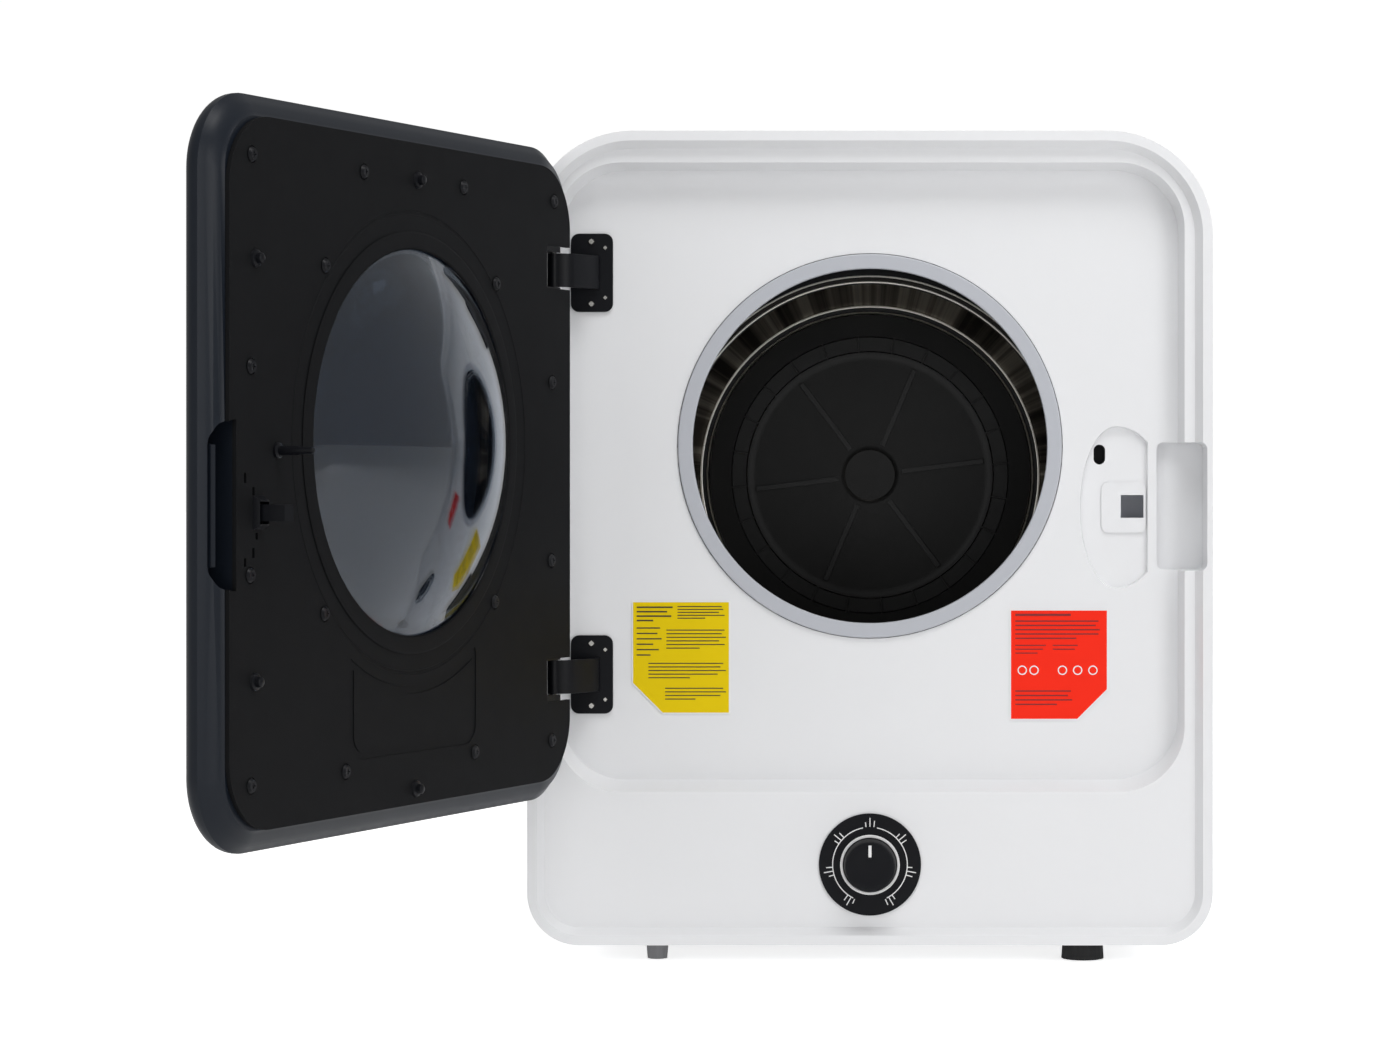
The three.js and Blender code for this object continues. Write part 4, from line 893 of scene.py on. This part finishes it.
PANEL_SCREWS = [(-193, 544), (-64, 544), (64, 544), (193, 544), (-109, 482), (110, 482), (-190, 417), (194, 417),
                (-189, 292), (195, 292), (-107, 266), (111, 266), (-190, 166), (-79.5, 166), (86, 166), (194, 166)]
PANEL_BUMPERS = [(-3.5, 544), (189, 482), (190, 228), (-1, 148)]


def door_panel():
    """The inner lining with its embossed pocket, screws and bumpers."""
    panel = door_slab("door_lining", 14, PANEL_Y - 2.7, PANEL_Y, 44)
    cut(panel, rod("window_hole", 0, MOUTH_Z, 128.4, -200, -170, WINDOW_STEPS))
    for z in HINGE_ZS:
        cut(panel, block("pocket", (-240, -183), (-214.4, -170), (z - 15, z + 15)))
    cut(panel, scoop_cutter(210, -208))
    emboss = block("emboss", (-81, 81), (PANEL_Y - 0.6, -170), (172, 245), (14, 14), 6)
    cut(emboss, rod("emboss_top", 0, MOUTH_Z, 158, -200, -160, 96))
    raised = block("raised", (-76, 76), (PANEL_Y - 1.4, -168), (176.5, 245), (11, 11), 6)
    cut(raised, rod("raised_top", 0, MOUTH_Z, 163, -200, -160, 96))
    cut(panel, cut(emboss, raised))
    cut(panel, turned("groove", 0, MOUTH_Z, [
        (148.4, PANEL_Y - 0.4), (150.4, PANEL_Y - 0.4), (151.8, PANEL_Y + 1), (147, PANEL_Y + 1)], WINDOW_STEPS))
    for x, z in PANEL_SCREWS:
        cut(panel, rod("screw_well", x, z, 5.3, PANEL_Y - 1, -175, 20),
            rod("screw_hole", x, z, 2.2, -200, -180, 16))
    for x0, x1, z0, z1 in ((-8, 1, -7, 7), (-22, -10, -5, 5), (9.5, 12, 18, 24), (0.5, 3, 10.5, 15.5),
                           (-3, -0.5, -16, -12), (0.5, 3, -27, -21), (9.5, 12, -32, -27)):
        cut(panel, block("snap_hole", (LATCH_X + x0, LATCH_X + x1), (-200, -170),
                         (LATCH_Z + z0, LATCH_Z + z1)))
    cut(panel, rod("pin_hole", SWITCH_X, SWITCH_Z, 3, -200, -170, 24))
    soften(panel, 0.5, 2, 40)
    settle(panel, PANEL_BLACK, "door", "black_plastic", "door_inner_panel", swing=True)
    bumper = turned("door_bumper", 0, 0, [
        (radius, PANEL_Y + rise) for radius, rise in (
            (0, -0.1), (5.6, -0.1), (5.2, 1.4), (3.4, 2), (3.1, 4.8), (2.2, 5.6), (0, 5.8))], 32, closed=False)
    smooth(bumper)
    for foot in repeated(bumper, PANEL_BUMPERS):
        settle(foot, HINGE_BLACK, "door", "black_plastic", swing=True)
    screws = gather("door_lining_screws", *screw_heads(PANEL_SCREWS, PANEL_Y + 0.3, 4.6, facing=1))
    smooth(screws)
    settle(screws, HINGE_BLACK, "door", "black_plastic", swing=True)


def dome(radius, rise, y, steps=14):
    """Points (radius, y) from a dome's rim to its crown."""
    sphere = (radius ** 2 + rise ** 2) / (2 * rise)
    points = []
    for index in range(steps + 1):
        reach = radius * (1 - index / steps)
        points.append((reach, y + (sphere ** 2 - reach ** 2) ** 0.5 - (sphere - rise)))
    return points


def door_window():
    """The bowl, the ring that holds it, and the flat outer pane."""
    outside = dome(124, 40, PANEL_Y + 0.3)
    inside = dome(121.5, 39.5, PANEL_Y - 2.4)
    bowl = turned("window_bowl_glass", 0, MOUTH_Z, [
        *outside[::-1], (127.6, PANEL_Y - 0.3), (127.6, PANEL_Y - 2.7), *inside], WINDOW_STEPS,
        closed=False)
    smooth(bowl, 40)
    settle(bowl, BOWL_GLASS, "door", "clear", "window_bowl", swing=True)
    ring = turned("window_surround", 0, MOUTH_Z, [
        (125.2, PANEL_Y + 0.6), (126.4, PANEL_Y + 1.6), (135.5, PANEL_Y + 1.4), (137.5, PANEL_Y + 0.6)],
        WINDOW_STEPS)
    soften(ring, 0.4, 2)
    settle(ring, PANEL_BLACK, "door", "black_plastic", "window_ring", swing=True)
    pane = turned("window_front_pane", 0, MOUTH_Z, [
        (reach, DOOR_FACE_Y + rise) for reach, rise in (
            (0, -0.8), (80, -0.6), (130, -0.1), (149, 0.6), (149.7, 1.4), (149.7, 3.4), (0, 3.4))],
        WINDOW_STEPS, closed=False)
    smooth(pane)
    settle(pane, SMOKED_GLASS, "door", "tinted", "window_pane_outer", swing=True)


def door_furniture():
    """The striker that presses the switch, the hook's guide and the release lever."""
    pin = turned("switch_striker", SWITCH_X - 0.8, SWITCH_Z, [
        (radius, PANEL_Y + rise) for radius, rise in (
            (0, -6.5), (5.5, -6.5), (5.5, -3), (2.9, -2.9), (2.9, -0.2), (4.8, -0.1), (4.8, 1.6), (3, 2.4),
            (2.8, 15), (2.2, 17), (2.1, 24.5), (1.4, 25.8), (0, 26))], 32, closed=False)
    smooth(pin)
    settle(pin, HINGE_BLACK, "door", "black_plastic", "switch_pin", swing=True)
    guide = block("latch_hook_guide", (LATCH_X - 9.5, LATCH_X + 2.5), (PANEL_Y - 0.4, PANEL_Y + 5),
                  (LATCH_Z - 10.5, LATCH_Z + 10.5))
    pick(guide, "FACE", lambda mid, way: way.y > 0.9)
    bpy.ops.transform.resize(value=(0.8, 1, 0.7))
    leave()
    cut(guide, block("throat", (LATCH_X - 8.4, LATCH_X + 1.4), (PANEL_Y - 2, PANEL_Y + 8),
                     (LATCH_Z - 6.8, LATCH_Z + 6.8)))
    soften(guide, 0.35, 2)
    settle(guide, HINGE_BLACK, "door", "black_plastic", swing=True)
    lever = block("door_release_lever", (211, 214), (-204, -201), (297, 370.5))
    pick(lever, "FACE", lambda mid, way: way.x > 0.9)
    for dx, dy in ((5, 1.5), (5, 5)):
        bpy.ops.mesh.extrude_region_move(TRANSFORM_OT_translate={"value": (dx * MM, dy * MM, 0)})
    leave()
    pick(lever, "FACE", lambda mid, way: way.y > 0.5 and mid.x > 219)
    bpy.ops.mesh.inset(thickness=0.5 * MM, depth=0)
    bpy.ops.mesh.extrude_region_move(TRANSFORM_OT_translate={"value": (-1 * MM, 2.6 * MM, 0)})
    leave()
    soften(lever, 0.35, 3, 25)
    settle(lever, SHELL_BLUE, "release_lever_body", "door_blue", "release_lever", swing=True)


door_shell()
door_panel()
door_window()
door_furniture()


# ------------------------------------------------------------------ back of the cabinet
def rear_screws():
    """Sheet-metal screws round the rear panel and on the hose collar's flange."""
    edge = [(x, z) for x in (-228, 228) for z in (75, 205, 335, 465)] + [(x, 584) for x in (-110, 0, 110)]
    edge += [(x, 29) for x in (-110, 110)]
    corners = [radians(degrees) for degrees in (45, 135, 225, 315)]
    flange = [(10 + 62 * cos(angle), 85 + 62 * sin(angle)) for angle in corners]
    screws = gather("rear_panel_screws", *screw_heads(edge, REAR_SCREW_Y, 4, facing=1),
                    *screw_heads(flange, REAR_SCREW_Y, 3, facing=1))
    smooth(screws)
    settle(screws, ZINC_PLATE, "cabinet", "zinc")


rear_screws()


# ------------------------------------------------------------------ nodes that keep their shape
NODE_FINISHES = {
    "latch_cover": WHITE_MOULDING, "latch_strike": RING_GREY, "latch_hook": HINGE_BLACK, "switch_plunger": HINGE_BLACK,
    "door_switch": HINGE_BLACK, "hinge_bracket_lower": HINGE_BLACK, "hinge_bracket_upper": HINGE_BLACK,
}
subparts = {entry["node"]: entry["material_slot"] for entry in frame["record"]["subparts"]}
for node_name, node_object in frame["nodes"].items():
    chosen = NODE_FINISHES.get(node_name, SLOT_MATERIALS[subparts[node_name]])
    node_object.data.materials.clear()
    node_object.data.materials.append(chosen)
